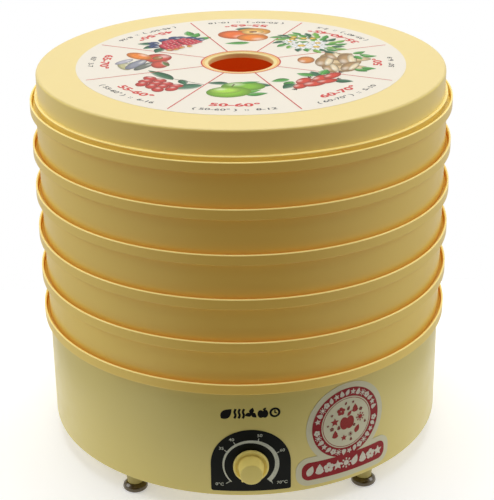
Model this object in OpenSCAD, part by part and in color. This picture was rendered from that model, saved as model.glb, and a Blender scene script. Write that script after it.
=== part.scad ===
// Round stacking food dehydrator: a powered base with a fan and a heater, five trays and a lid.
// Origin: on the floor under the stack's axis. +Z up the stack, -Y towards the dial. All sizes in mm.

/* [Stack] */
// outer radius of every tray rim
rim_r = 195; // [150:1:230]
// height of the band round the top of each tray
rim_h = 10; // [6:0.5:16]
// step from one tray rim to the next
pitch = 41; // [30:0.5:60]
// depth of the ledge below the rim's top, where the next tray sits
ledge_drop = 8; // [5:0.5:12]
// thickness of moulded walls
wall = 1.8; // [1.2:0.1:3]
// how far the walls stand in from the rim's outside
step_in = 5; // [3:0.5:8]
// height of the locating bead under each tray
bead_h = 2.5; // [1.5:0.5:4]

/* [Base] */
// height of the base from its underside to the top of its rim
base_h = 116.4; // [90:0.1:150]
// floor clearance under the base
foot_h = 20; // [10:1:30]
// radius of the round air outlet in the base's deck
outlet_r = 60; // [40:1:80]
// radius of the circle that the feet stand on
foot_circle_r = 176; // [140:1:178]
// angle of each foot away from the dial or the cord gland
foot_angle = 37.3; // [30:0.1:60]
// radius of a foot's cup
foot_r = 11.75; // [8:0.25:16]

/* [Lid] */
// height of the lid's top above the top tray's rim
lid_rise = 25.4; // [15:0.1:40]
// outer radius of the lid's skirt
lid_r = 188; // [150:1:190]
// radius of the vent in the middle of the lid
vent_r = 30; // [20:1:50]
// inner radius of the printed lid label
label_in_r = 36.7; // [32:0.1:60]
// outer radius of the printed lid label
label_out_r = 151.5; // [100:0.5:170]

/* [Dial] */
// height of the knob's axis above the base's underside
knob_z = 32.4; // [25:0.1:45]
// radius of the knob's flange
knob_flange_r = 15.9; // [12:0.1:22]
// radius of the grip where it meets the flange
grip_r = 11.4; // [8:0.1:14]
// radius of the grip's front face
grip_tip_r = 10; // [6:0.1:12]
// half width of the dial panel
panel_half_w = 36; // [30:0.5:45]
// angle of the round badge away from the dial
badge_angle = 27.3; // [22:0.1:40]
// radius of the round badge
badge_r = 40.5; // [25:0.5:45]

/* [Fan and heater] */
// tip radius of the fan
fan_r = 62; // [40:1:66]
// number of fan blades
blades = 7; // [3:1:9]
// radius of the motor shaft
shaft_r = 2; // [1.5:0.1:3]
// radius of the heater ring
heater_r = 46; // [30:1:54]
// radius of the heater's tube
heater_tube = 3.2; // [2:0.1:4]

/* [Hidden] */
$fn = 96;
eps = 0.5;
running = 0.05;
wall_r = rim_r - step_in;
wall_in = wall_r - wall;
rim_in = rim_r - wall;
bead_r = rim_in - 0.6;
base_z = foot_h;
base_top = foot_h + base_h;
nest = ledge_drop + pitch;
grid_t = 2;
housing_t = 2.2;
housing_in = wall_r - housing_t;
plate_t = 2.5;
deck_z = base_top - 18.4;
rim_cut = base_top - rim_h - 4;
deck_t = 2.5;
knob_cz = foot_h + knob_z;
skin = 0.3;
lid_top = base_top + 5 * pitch + lid_rise;
lid_t = 2.5;
collar_h = 5;
front_y = -207;
knob_back = -(wall_r + 0.9);
core_z = 36;
core_h = 16;
duct_r = 68;
duct_t = 1.2;
duct_z = 66;
heater_z = 100;
gland_z = foot_h + 22;
boss_angles = [10, 70, 130, 190, 250, 310];
foot_angles = [foot_angle, 180 - foot_angle, 180 + foot_angle, -foot_angle];

cream = [0.93, 0.85, 0.62];
amber = [0.88, 0.72, 0.40];
metal = [0.72, 0.73, 0.74];
steel = [0.55, 0.56, 0.58];
dark = [0.10, 0.10, 0.10];
olive = [0.20, 0.18, 0.09];
copper = [0.72, 0.40, 0.20];

// z of the top of a tray's rim; tray 1 is the top one
function rim_top(n) = base_top + (6 - n) * pitch;

// quarter circle of points about c, from angle a0 to a1
function arc(c, r, a0, a1, steps) =
    [for (i = [0:steps]) c + r * [cos(a0 + (a1 - a0) * i / steps), sin(a0 + (a1 - a0) * i / steps)]];

// point on a circle, with the angle counted from -Y towards +X
function around(r, a) = [r * sin(a), -r * cos(a)];

module at(r, a, z) {
    translate([around(r, a)[0], around(r, a)[1], z])
        children();
}

// turns a shape drawn facing -Y to face the angle a
module facing(a) {
    rotate([0, 0, a])
        children();
}

module tube(r_out, r_in, z0, z1) {
    translate([0, 0, z0])
        difference() {
            cylinder(r = r_out, h = z1 - z0);
            translate([0, 0, -eps])
                cylinder(r = r_in, h = z1 - z0 + 2 * eps);
        }
}

module rod(r, p, axis_y_len) {
    translate(p)
        rotate([-90, 0, 0])
            cylinder(r = r, h = axis_y_len);
}

// ---------------------------------------------------------------- trays

module tray_ring(n) {
    zt = rim_top(n);
    z0 = zt - nest;
    chamfer = 0.6;
    color(amber)
        rotate_extrude($fn = 128)
            polygon([[wall_in, z0], [bead_r, z0], [bead_r, z0 + bead_h], [wall_r, z0 + bead_h + 1],
                [wall_r, zt - rim_h], [rim_r, zt - rim_h], [rim_r, zt - chamfer], [rim_r - chamfer, zt],
                [rim_in + chamfer, zt], [rim_in, zt - chamfer], [rim_in, zt - ledge_drop],
                [wall_in, zt - ledge_drop]]);
}

module tray_floor(n) {
    z0 = rim_top(n) - nest + 1;
    bar = 2;
    rings = 6;
    spokes = 16;
    gap = (wall_in - 14) / (rings + 1);
    color(amber)
        union() {
            tube(wall_in, wall_in - 3, z0, z0 + grid_t);
            for (i = [1:rings])
                tube(14 + gap * i, 14 + gap * i - bar, z0, z0 + grid_t);
            translate([0, 0, z0])
                cylinder(r = 14, h = grid_t);
            for (i = [0:spokes - 1])
                rotate([0, 0, 360 * i / spokes])
                    translate([12, -bar / 2, z0])
                        cube([wall_in - 13.5, bar, grid_t]);
        }
}

module tray_1() { tray_ring(1); }
module tray_2() { tray_ring(2); }
module tray_3() { tray_ring(3); }
module tray_4() { tray_ring(4); }
module tray_5() { tray_ring(5); }
module tray_1_grid() { tray_floor(1); }
module tray_2_grid() { tray_floor(2); }
module tray_3_grid() { tray_floor(3); }
module tray_4_grid() { tray_floor(4); }
module tray_5_grid() { tray_floor(5); }

// ---------------------------------------------------------------- lid

module lid() {
    zt = lid_top;
    z0 = rim_top(1) - ledge_drop;
    edge = 2.4;
    lip_z = rim_top(1) + 2;
    under = zt - lid_t;
    color(cream)
        rotate_extrude($fn = 128)
            polygon(concat(
                [[vent_r, zt - collar_h], [vent_r + 2, zt - collar_h], [vent_r + 2, under],
                    [lid_r - edge, under], [lid_r - wall, under - edge + wall], [lid_r - wall, z0],
                    [bead_r, z0], [bead_r, z0 + bead_h], [lid_r, z0 + bead_h + 1],
                    [lid_r, lip_z], [lid_r + 2.5, lip_z], [lid_r + 2.5, lip_z + 1.5], [lid_r, lip_z + 1.5]],
                arc([lid_r - edge, zt - edge], edge, 0, 90, 6),
                [[vent_r, zt]]));
}

module lid_label() {
    color([0.94, 0.91, 0.84])
        tube(label_out_r, label_in_r, lid_top, lid_top + 0.2);
}

// ---------------------------------------------------------------- base

module base_rim() {
    zt = base_top;
    chamfer = 0.6;
    color(cream)
        rotate_extrude($fn = 128)
            polygon([[housing_in, rim_cut], [wall_r, rim_cut], [wall_r, zt - rim_h], [rim_r, zt - rim_h],
                [rim_r, zt - chamfer], [rim_r - chamfer, zt], [rim_in + chamfer, zt], [rim_in, zt - chamfer],
                [rim_in, zt - ledge_drop], [housing_in, zt - ledge_drop]]);
}

module base_housing() {
    shelf_w = 4;
    seat_w = 9;
    seat_z = base_z + plate_t;
    round_r = 1.8;
    color(cream)
        difference() {
            union() {
                rotate_extrude($fn = 128)
                    polygon(concat(
                        [[housing_in, rim_cut], [housing_in, deck_z], [housing_in - shelf_w, deck_z],
                            [housing_in, deck_z - shelf_w], [housing_in, seat_z + 2],
                            [housing_in - seat_w, seat_z + 2], [housing_in - seat_w, seat_z],
                            [housing_in, seat_z], [housing_in, base_z]],
                        arc([wall_r - round_r, base_z + round_r], round_r, -90, 0, 4),
                        [[wall_r, rim_cut]]));
                for (a = boss_angles)
                    at(housing_in - 4.5, a, base_z + 4)
                        cylinder(r = 4, h = 10, $fn = 32);
            }
            for (a = boss_angles)
                at(housing_in - 4.5, a, base_z + 1)
                    cylinder(r = 1.4, h = 10, $fn = 24);
            rod(4.6, [0, -wall_r - 2, knob_cz], 6);
            rod(7, [0, housing_in - 2, gland_z], 6);
        }
}

module bottom_plate() {
    slots = 12;
    color(cream)
        difference() {
            union() {
                translate([0, 0, base_z])
                    cylinder(r = housing_in, h = plate_t, $fn = 128);
                for (a = foot_angles) {
                    at(foot_circle_r, a, base_z - 12.9)
                        cylinder(r1 = 7.3, r2 = 8.8, h = 13.4, $fn = 32);
                    at(foot_circle_r, a, base_z - 17)
                        cylinder(r = 3.5, h = 4.6, $fn = 32);
                }
                for (x = [-20, 20], y = [-16, 42])
                    translate([x, y, base_z + plate_t - eps])
                        cylinder(r = 3.5, h = core_z - base_z - plate_t + eps, $fn = 32);
            }
            for (i = [0:slots - 1])
                rotate([0, 0, 360 * (i + 0.5) / slots])
                    translate([52, -4, base_z - eps])
                        cube([36, 8, plate_t + 2 * eps]);
            for (a = boss_angles)
                at(housing_in - 4.5, a, base_z - eps)
                    cylinder(r = 1.6, h = plate_t + 2 * eps, $fn = 24);
            for (x = [-20, 20], y = [-16, 42])
                translate([x, y, base_z + 4])
                    cylinder(r = 1.5, h = 20, $fn = 24);
        }
}

module foot_cup(a) {
    color(olive)
        at(foot_circle_r, a, 0)
            difference() {
                rotate_extrude($fn = 48)
                    polygon(concat([[0, 0], [foot_r - 0.6, 0]],
                        arc([foot_r - 5.6, 1.5], 5.6, 0, 90, 6),
                        [[0, foot_h - 12.9]]));
                translate([0, 0, foot_h - 17])
                    cylinder(r = 3.5, h = 6, $fn = 32);
            }
}

module foot_front_left() { foot_cup(-foot_angle); }
module foot_front_right() { foot_cup(foot_angle); }
module foot_rear_left() { foot_cup(180 + foot_angle); }
module foot_rear_right() { foot_cup(180 - foot_angle); }

module bottom_plate_screws() {
    color(steel)
        for (a = boss_angles) {
            at(housing_in - 4.5, a, base_z)
                cylinder(r = 1.4, h = 10, $fn = 24);
            at(housing_in - 4.5, a, base_z - 1.5)
                cylinder(r = 3.2, h = 1.5, $fn = 32);
        }
}

// the thin skin on the base's wall between the wall's radius and the skin's thickness above it
module wall_skin() {
    translate([0, 0, base_z])
        difference() {
            cylinder(r = wall_r + skin, h = base_h - rim_h - 1, $fn = 128);
            translate([0, 0, -eps])
                cylinder(r = wall_r, h = base_h, $fn = 128);
        }
}

module dial_panel() {
    color(dark)
        intersection() {
            wall_skin();
            difference() {
                union() {
                    rod(panel_half_w, [0, -wall_r - 10, knob_cz], 40);
                    translate([-panel_half_w, -wall_r - 10, base_z + 5])
                        cube([2 * panel_half_w, 40, knob_z - 5]);
                }
                rod(8.5, [0, -wall_r - 12, knob_cz], 44);
                translate([-60, -wall_r - 12, base_z - 20])
                    cube([120, 44, 25]);
            }
        }
}

module badge_sticker() {
    banner_w = 100;
    banner_h = 29;
    color([0.78, 0.74, 0.62])
        facing(badge_angle)
            intersection() {
                wall_skin();
                union() {
                    rod(badge_r, [0, -wall_r - 10, base_z + 61.5], 40);
                    for (s = [-1, 1])
                        rod(banner_h / 2, [s * (banner_w - banner_h) / 2, -wall_r - 10, base_z + 19], 40);
                    translate([-(banner_w - banner_h) / 2, -wall_r - 10, base_z + 19 - banner_h / 2])
                        cube([banner_w - banner_h, 40, banner_h]);
                }
            }
}

// ---------------------------------------------------------------- dial

module knob() {
    depth = knob_back - front_y;
    flange_t = 3.7;
    pointer = 27.7;
    color(cream)
        translate([0, knob_back, knob_cz])
            rotate([90, 0, 0])
                difference() {
                    union() {
                        rotate_extrude($fn = 64)
                            polygon([[0, 0], [knob_flange_r, 0], [knob_flange_r, flange_t - 0.7],
                                [knob_flange_r - 0.7, flange_t], [knob_flange_r - 1.8, flange_t],
                                [grip_r + 1, flange_t - 1.4], [grip_r, flange_t - 0.8],
                                [grip_tip_r, depth - 0.8], [grip_tip_r - 0.8, depth], [0, depth]]);
                        rotate([0, 0, -90 - pointer])
                            translate([0, 0, 0.4])
                                linear_extrude(flange_t - 0.9)
                                    polygon([[14, -3.4], [knob_flange_r + 1.8, 0], [14, 3.4]]);
                    }
                    translate([0, 0, -eps])
                        cylinder(r = 9, h = 2.4 + eps, $fn = 48);
                    cylinder(r = 3, h = 12, $fn = 32);
                }
}

module thermostat_shaft() {
    color(metal)
        rod(3, [0, knob_back - 12, knob_cz], 29.9);
}

module thermostat_body() {
    front = -(housing_in - 1.3);
    color([0.85, 0.83, 0.78])
        difference() {
            union() {
                translate([-15, front, knob_cz - 12])
                    cube([30, 26, 24]);
                rod(4.5, [0, front - 6.1, knob_cz], 7);
                for (s = [-1, 1])
                    translate([s * 8 - 3, front + 25, knob_cz + 2])
                        cube([6, 11, 1.2]);
            }
            rod(3 + running, [0, front - 8, knob_cz], 22);
        }
}

module thermostat_nut() {
    color(steel)
        translate([0, -wall_r, knob_cz])
            rotate([90, 0, 0])
                difference() {
                    cylinder(r = 7, h = 2, $fn = 6);
                    translate([0, 0, -eps])
                        cylinder(r = 4.5, h = 3, $fn = 48);
                }
}

// ---------------------------------------------------------------- air path

module deck_plate() {
    rings = [16, 30, 44];
    bar = 2.4;
    spokes = 12;
    color(cream)
        union() {
            tube(housing_in, outlet_r, deck_z, deck_z + deck_t);
            for (r = rings)
                tube(r, r - bar, deck_z, deck_z + deck_t);
            for (i = [0:spokes - 1])
                rotate([0, 0, 360 * i / spokes])
                    translate([14.5, -bar / 2, deck_z])
                        cube([outlet_r - 14, bar, deck_t]);
        }
}

module fan_duct() {
    color(metal)
        difference() {
            union() {
                tube(duct_r + duct_t, duct_r, duct_z, deck_z);
                for (a = [45, 135, 225, 315])
                    rotate([0, 0, a])
                        translate([duct_r + 0.5, -5, deck_z - 1.2])
                            cube([12, 10, 1.2]);
            }
            for (s = [-1, 1])
                rotate([90, 0, 90 + s * 9])
                    translate([0, heater_z, 50])
                        cylinder(r = 4.5, h = 30, $fn = 32);
        }
}

module heater_element() {
    color(steel)
        union() {
            translate([0, 0, heater_z])
                rotate([0, 0, 90 + 9])
                    rotate([0, 0, -90])
                        rotate_extrude(angle = 342, $fn = 96)
                            translate([heater_r, 0])
                                circle(r = heater_tube, $fn = 32);
            for (s = [-1, 1])
                rotate([90, 0, 90 + s * 9])
                    translate([0, heater_z, heater_r - 1])
                        cylinder(r = 2.2, h = 32, $fn = 32);
        }
}

module heater_insulators() {
    color([0.93, 0.92, 0.88])
        for (s = [-1, 1])
            rotate([90, 0, 90 + s * 9])
                translate([0, heater_z, duct_r - 5])
                    difference() {
                        cylinder(r = 4.5, h = 11, $fn = 32);
                        translate([0, 0, -eps])
                            cylinder(r = 2.2, h = 13, $fn = 32);
                    }
}

module heater_brackets() {
    color(metal)
        for (a = [60, 180, 300])
            rotate([0, 0, a])
                union() {
                    translate([heater_r - 5, -4, heater_z - heater_tube - 1.5])
                        cube([duct_r - heater_r + 4, 8, 1.5]);
                    translate([duct_r - 1.6, -4, heater_z - heater_tube - 1])
                        cube([1.2, 8, 14]);
                }
}

module thermal_fuse() {
    color([0.80, 0.80, 0.82])
        at(duct_r + duct_t + 3, 140, 0)
            union() {
                translate([0, 0, heater_z - 6])
                    cylinder(r = 3, h = 12, $fn = 32);
                translate([0, 0, heater_z - 12])
                    cylinder(r = 0.6, h = 24, $fn = 16);
            }
}

module motor_core() {
    color(steel)
        difference() {
            translate([-24, -20, core_z])
                cube([48, 66, core_h]);
            translate([0, 0, core_z - eps])
                cylinder(r = 12.6, h = core_h + 2 * eps, $fn = 64);
            for (s = [-1, 1])
                translate([s * 12 - 4, 20, core_z - eps])
                    cube([8, 20, core_h + 2 * eps]);
            for (x = [-20, 20], y = [-16, 42])
                translate([x, y, core_z - eps])
                    cylinder(r = 1.8, h = core_h + 2 * eps, $fn = 24);
        }
}

module motor_bobbin() {
    color([0.90, 0.90, 0.86])
        difference() {
            union() {
                translate([-9.5, 21, core_z - 1.5])
                    cube([19, 18, core_h + 3]);
                for (y = [21, 37.5])
                    translate([-15.8, y, core_z - 8])
                        cube([31.6, 1.5, core_h + 16]);
            }
            translate([-8, 20, core_z])
                cube([16, 20, core_h]);
        }
}

module motor_coil() {
    color(copper)
        difference() {
            translate([-15.2, 22.5, core_z - 7.2])
                cube([30.4, 15, core_h + 14.4]);
            translate([-9.5, 22, core_z - 1.5])
                cube([19, 16, core_h + 3]);
        }
}

module bearing_bracket(z_foot, z_bridge) {
    low = min(z_foot, z_bridge);
    difference() {
        union() {
            for (s = [-1, 1])
                translate([s * 18 - 1.5, -6, low])
                    cube([3, 12, abs(z_bridge - z_foot)]);
            translate([-19.5, -6, z_bridge - (z_bridge > z_foot ? 2 : 0)])
                cube([39, 12, 2]);
        }
        translate([0, 0, z_bridge - 4])
            cylinder(r = 5, h = 8, $fn = 32);
    }
}

module motor_brackets() {
    color(metal) {
        bearing_bracket(core_z, core_z - 9);
        bearing_bracket(core_z + core_h, core_z + core_h + 10);
    }
}

module motor_bushes() {
    color([0.70, 0.55, 0.25]) {
        tube(5, shaft_r + running, core_z - 10, core_z - 6);
        tube(5, shaft_r + running, core_z + core_h + 7, core_z + core_h + 11);
    }
}

module motor_screws() {
    color(steel)
        for (x = [-20, 20], y = [-16, 42]) {
            translate([x, y, base_z + 6])
                cylinder(r = 1.5, h = core_z + core_h - base_z - 6, $fn = 24);
            translate([x, y, core_z + core_h])
                cylinder(r = 3, h = 2, $fn = 32);
        }
}

module motor_rotor() {
    color(metal)
        tube(12.2, shaft_r, core_z + 1, core_z + core_h - 1);
}

module motor_shaft() {
    color(steel)
        translate([0, 0, core_z - 11])
            cylinder(r = shaft_r, h = 64, $fn = 32);
}

module impeller() {
    z0 = 69;
    hub_h = 17;
    color(dark)
        difference() {
            union() {
                translate([0, 0, z0])
                    cylinder(r = 11, h = hub_h, $fn = 48);
                for (i = [0:blades - 1])
                    rotate([0, 0, 360 * i / blades])
                        translate([9.5, 0, z0 + hub_h / 2])
                            rotate([32, 0, 0])
                                translate([0, -12, -0.9])
                                    cube([fan_r - 10.5, 24, 1.8]);
            }
            translate([0, 0, z0 - eps])
                cylinder(r = shaft_r, h = hub_h + 2 * eps, $fn = 32);
        }
}

module impeller_clip() {
    color(steel)
        tube(5, shaft_r, 86, 87.5);
}

// ---------------------------------------------------------------- cord entry and wiring

module terminal_block() {
    color([0.92, 0.92, 0.90])
        difference() {
            translate([-66, 112, base_z + plate_t])
                cube([36, 16, 14]);
            for (i = [0:2])
                translate([-60 + 12 * i, 120, base_z + plate_t + 8])
                    cylinder(r = 2.6, h = 8, $fn = 24);
        }
}

// a straight run of wire with a ball at its start
module wire(p, q, r) {
    d = q - p;
    translate(p)
        rotate([0, acos(d[2] / norm(d)), atan2(d[1], d[0])])
            cylinder(r = r, h = norm(d), $fn = 24);
    translate(q)
        sphere(r = r * 1.35, $fn = 24);
}

module internal_wires() {
    zb = base_z + plate_t;
    t1 = [-48, 110.9, zb + 5];
    t2 = [-60, 110.9, zb + 5];
    m = [-104, 60, zb + 5];
    k = [-40, -130, zb + 5];
    color([0.75, 0.25, 0.18])
        union() {
            wire(t2, m, 1.4);
            wire(m, k, 1.4);
            wire(k, [-8, -149, knob_cz + 5.1], 1.4);
        }
    color([0.25, 0.35, 0.70])
        union() {
            wire(t1, [-45, 40, zb + 5], 1.4);
            wire([-45, 40, zb + 5], [-17.1, 30, zb + 8], 1.4);
        }
}

module cord_gland() {
    color(dark)
        difference() {
            union() {
                rod(7, [0, housing_in - 12, gland_z], 16);
                rod(10, [0, wall_r, gland_z], 3.5);
                translate([0, wall_r + 3, gland_z])
                    rotate([-90, 0, 0])
                        cylinder(r1 = 7.5, r2 = 5.6, h = 14, $fn = 48);
            }
            rod(3.7, [0, housing_in - 14, gland_z], 36);
        }
}

module gland_nut() {
    color(dark)
        translate([0, housing_in - 4.4, gland_z])
            rotate([-90, 0, 0])
                difference() {
                    cylinder(r = 12, h = 4, $fn = 6);
                    translate([0, 0, -eps])
                        cylinder(r = 7, h = 5, $fn = 48);
                }
}

module cord_clamp() {
    z0 = base_z + plate_t;
    color([0.88, 0.86, 0.80])
        difference() {
            translate([-17, 152, z0])
                cube([34, 11, gland_z - z0 + 7.5]);
            rod(3.7, [0, 150, gland_z], 15);
            translate([-8, 151, z0 - eps])
                cube([16, 13, gland_z - z0 - 8 + eps]);
        }
}

module clamp_screws() {
    zc = gland_z + 7.5;
    color(steel)
        for (s = [-1, 1])
            translate([s * 12, 157.5, zc])
                cylinder(r = 3, h = 2, $fn = 32);
}

lid();
lid_label();
tray_1();
tray_1_grid();
tray_2();
tray_2_grid();
tray_3();
tray_3_grid();
tray_4();
tray_4_grid();
tray_5();
tray_5_grid();
base_rim();
base_housing();
bottom_plate();
foot_front_left();
foot_front_right();
foot_rear_left();
foot_rear_right();
bottom_plate_screws();
dial_panel();
badge_sticker();
knob();
thermostat_shaft();
thermostat_body();
thermostat_nut();
deck_plate();
fan_duct();
heater_element();
heater_brackets();
heater_insulators();
thermal_fuse();
motor_core();
motor_bobbin();
motor_coil();
motor_brackets();
motor_bushes();
motor_screws();
motor_rotor();
motor_shaft();
impeller();
impeller_clip();
terminal_block();
internal_wires();
cord_gland();
gland_nut();
cord_clamp();
clamp_screws();
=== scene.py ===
"""Looks of a round stacking food dehydrator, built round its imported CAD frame."""
import logging
from dataclasses import dataclass, field
from enum import Enum
from math import acos, cos, pi, radians, sin, tan
from typing import Callable, Protocol, Sequence

import bmesh
import bpy
from mathutils import Matrix, Vector


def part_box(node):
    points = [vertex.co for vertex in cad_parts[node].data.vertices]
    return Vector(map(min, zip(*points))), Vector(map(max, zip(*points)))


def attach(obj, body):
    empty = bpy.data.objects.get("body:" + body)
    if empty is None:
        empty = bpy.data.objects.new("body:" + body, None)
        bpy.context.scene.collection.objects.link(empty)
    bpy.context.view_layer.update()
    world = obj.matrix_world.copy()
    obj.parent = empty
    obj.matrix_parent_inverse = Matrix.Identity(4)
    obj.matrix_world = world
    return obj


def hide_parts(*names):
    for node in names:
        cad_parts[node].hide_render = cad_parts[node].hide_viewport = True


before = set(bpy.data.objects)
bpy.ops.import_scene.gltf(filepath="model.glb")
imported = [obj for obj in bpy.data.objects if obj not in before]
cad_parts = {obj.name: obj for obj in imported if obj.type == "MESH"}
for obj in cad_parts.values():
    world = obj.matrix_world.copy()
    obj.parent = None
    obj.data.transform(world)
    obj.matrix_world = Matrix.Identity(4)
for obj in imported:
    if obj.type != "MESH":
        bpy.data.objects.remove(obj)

log = logging.getLogger("dehydrator")

MM = 0.001
ROUND = 2 * pi
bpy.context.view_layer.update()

Colour = tuple[float, float, float]
Point2 = tuple[float, float]
Point3 = tuple[float, float, float]
Corner = tuple[float, float, float]


def srgb(red: int, green: int, blue: int) -> Colour:
    """Turns a colour given in display steps of 0 to 255 into a linear colour.

    Args:
        red: Red step.
        green: Green step.
        blue: Blue step.

    Returns:
        The linear colour.
    """
    def one(step: int) -> float:
        """Linear value of one channel."""
        value = step / 255
        return value / 12.92 if value <= 0.04045 else ((value + 0.055) / 1.055) ** 2.4
    return one(red), one(green), one(blue)


# ---------------------------------------------------------------- finishes


class NodeBoard:
    """A material's node tree, with short ways to add and join nodes."""

    def __init__(self, name: str) -> None:
        """Starts an empty material.

        Args:
            name: The material's name.
        """
        self.material = bpy.data.materials.new(name)
        self.material.use_nodes = True
        self.tree = self.material.node_tree
        self.tree.nodes.clear()
        self.shader = self.add("ShaderNodeBsdfPrincipled")
        output = self.add("ShaderNodeOutputMaterial")
        self.link(self.shader.outputs["BSDF"], output.inputs["Surface"])

    def add(self, kind: str, **values: object) -> bpy.types.Node:
        """Adds a node and sets its properties.

        Args:
            kind: The node's type name.
            **values: Properties of the node itself.

        Returns:
            The new node.
        """
        node = self.tree.nodes.new(kind)
        for key, value in values.items():
            setattr(node, key, value)
        return node

    def link(self, source: bpy.types.NodeSocket, target: bpy.types.NodeSocket) -> None:
        """Joins two sockets."""
        self.tree.links.new(source, target)

    def noise(self, scale: float, detail: float = 3.0) -> bpy.types.NodeSocket:
        """A noise pattern on the object's own coordinates.

        Args:
            scale: Features per metre.
            detail: Octaves.

        Returns:
            The pattern's value socket.
        """
        where = self.add("ShaderNodeTexCoord")
        pattern = self.add("ShaderNodeTexNoise")
        pattern.inputs["Scale"].default_value = scale
        pattern.inputs["Detail"].default_value = detail
        self.link(where.outputs["Object"], pattern.inputs["Vector"])
        return pattern.outputs["Fac"]

    def span(self, value: bpy.types.NodeSocket, low: float, high: float,
             start: float = 0.0, end: float = 1.0) -> bpy.types.NodeSocket:
        """Maps a value from start..end to low..high, clamped.

        Args:
            value: The value to map.
            low: Result at the start.
            high: Result at the end.
            start: Value that gives low.
            end: Value that gives high.

        Returns:
            The result's socket.
        """
        node = self.add("ShaderNodeMapRange")
        node.inputs["From Min"].default_value = start
        node.inputs["From Max"].default_value = end
        node.inputs["To Min"].default_value = low
        node.inputs["To Max"].default_value = high
        self.link(value, node.inputs["Value"])
        return node.outputs["Result"]

    def blend(self, factor: bpy.types.NodeSocket, first: Colour, second: Colour) -> bpy.types.NodeSocket:
        """Mixes two plain colours by a factor.

        Args:
            factor: How much of the second colour shows.
            first: Colour at 0.
            second: Colour at 1.

        Returns:
            The mixed colour's socket.
        """
        node = self.add("ShaderNodeMix", data_type="RGBA")
        node.inputs["A"].default_value = (*first, 1)
        node.inputs["B"].default_value = (*second, 1)
        self.link(factor, node.inputs["Factor"])
        return node.outputs["Result"]

    def bump(self, height: bpy.types.NodeSocket, depth: float, strength: float = 1.0) -> None:
        """Puts a bump of the given depth in metres on the shader.

        Args:
            height: The pattern's socket.
            depth: Depth in metres.
            strength: How much of it shows.
        """
        node = self.add("ShaderNodeBump")
        node.inputs["Distance"].default_value = depth
        node.inputs["Strength"].default_value = strength
        self.link(height, node.inputs["Height"])
        self.link(node.outputs["Normal"], self.shader.inputs["Normal"])

    def set(self, **values: float | Colour) -> None:
        """Sets plain values on the shader's own sockets, with underscores for spaces.

        Args:
            **values: Each socket's value.
        """
        for key, value in values.items():
            socket = self.shader.inputs[key.replace("_", " ")]
            rgba = isinstance(value, tuple) and len(socket.default_value) == 4
            socket.default_value = (*value, 1) if rgba else value


class Finish(Protocol):
    """Anything that can make a material."""

    name: str

    def make(self) -> bpy.types.Material:
        """Builds the material."""


@dataclass(frozen=True)
class Plastic:
    """Injection-moulded plastic: a faint mottle, a fine grain and, where asked, a painted glow: an emission that
    stands in for light coming through it.
    """

    name: str
    colour: Colour
    roughness: float = 0.32
    mottle: float = 0.05
    grain: float = 0.0000015
    sheen: float = 0.4
    glow: Colour = (0.0, 0.0, 0.0)
    glow_power: float = 0.0

    def make(self) -> bpy.types.Material:
        """Builds the material.

        Returns:
            The material.
        """
        board = NodeBoard(self.name)
        low = tuple(c * (1 - self.mottle) for c in self.colour)
        high = tuple(min(1.0, c * (1 + self.mottle)) for c in self.colour)
        board.link(board.blend(board.noise(9.0), low, high), board.shader.inputs["Base Color"])
        smear = board.span(board.noise(60.0), self.roughness * 0.9, self.roughness * 1.12, 0.3, 0.7)
        board.link(smear, board.shader.inputs["Roughness"])
        board.bump(board.noise(900.0, 2.0), self.grain)
        board.set(IOR=1.49, Specular_IOR_Level=self.sheen)
        # painted glow: the emission lights the plastic itself in place of light passing through it; the piece is no
        # lamp
        if self.glow_power:
            board.set(Emission_Color=self.glow, Emission_Strength=self.glow_power)
        return board.material


@dataclass(frozen=True)
class Metal:
    """Bare metal with brushed streaks along one axis."""

    name: str
    colour: Colour
    roughness: float = 0.35
    streak: Point3 = (40.0, 40.0, 900.0)

    def make(self) -> bpy.types.Material:
        """Builds the material.

        Returns:
            The material.
        """
        board = NodeBoard(self.name)
        where = board.add("ShaderNodeTexCoord")
        stretch = board.add("ShaderNodeMapping")
        stretch.inputs["Scale"].default_value = self.streak
        pattern = board.add("ShaderNodeTexNoise")
        pattern.inputs["Scale"].default_value = 1.0
        board.link(where.outputs["Object"], stretch.inputs["Vector"])
        board.link(stretch.outputs["Vector"], pattern.inputs["Vector"])
        fac = pattern.outputs["Fac"]
        dark = tuple(c * 0.8 for c in self.colour)
        board.link(board.blend(fac, dark, self.colour), board.shader.inputs["Base Color"])
        brushed = board.span(fac, self.roughness * 0.8, self.roughness * 1.3)
        board.link(brushed, board.shader.inputs["Roughness"])
        board.bump(fac, 0.00003, 0.5)
        board.set(Metallic=1.0)
        return board.material


@dataclass(frozen=True)
class Rubber:
    """Dark moulded rubber or lacquered plastic with a soft sheen."""

    name: str
    colour: Colour
    roughness: float = 0.3
    coat: float = 0.0

    def make(self) -> bpy.types.Material:
        """Builds the material.

        Returns:
            The material.
        """
        board = NodeBoard(self.name)
        dark = tuple(c * 0.7 for c in self.colour)
        board.link(board.blend(board.noise(120.0), dark, self.colour), board.shader.inputs["Base Color"])
        worn = board.span(board.noise(300.0), self.roughness, self.roughness * 1.4)
        board.link(worn, board.shader.inputs["Roughness"])
        board.bump(board.noise(900.0), 0.00003)
        board.set(Coat_Weight=self.coat, Coat_Roughness=0.12)
        return board.material


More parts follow.
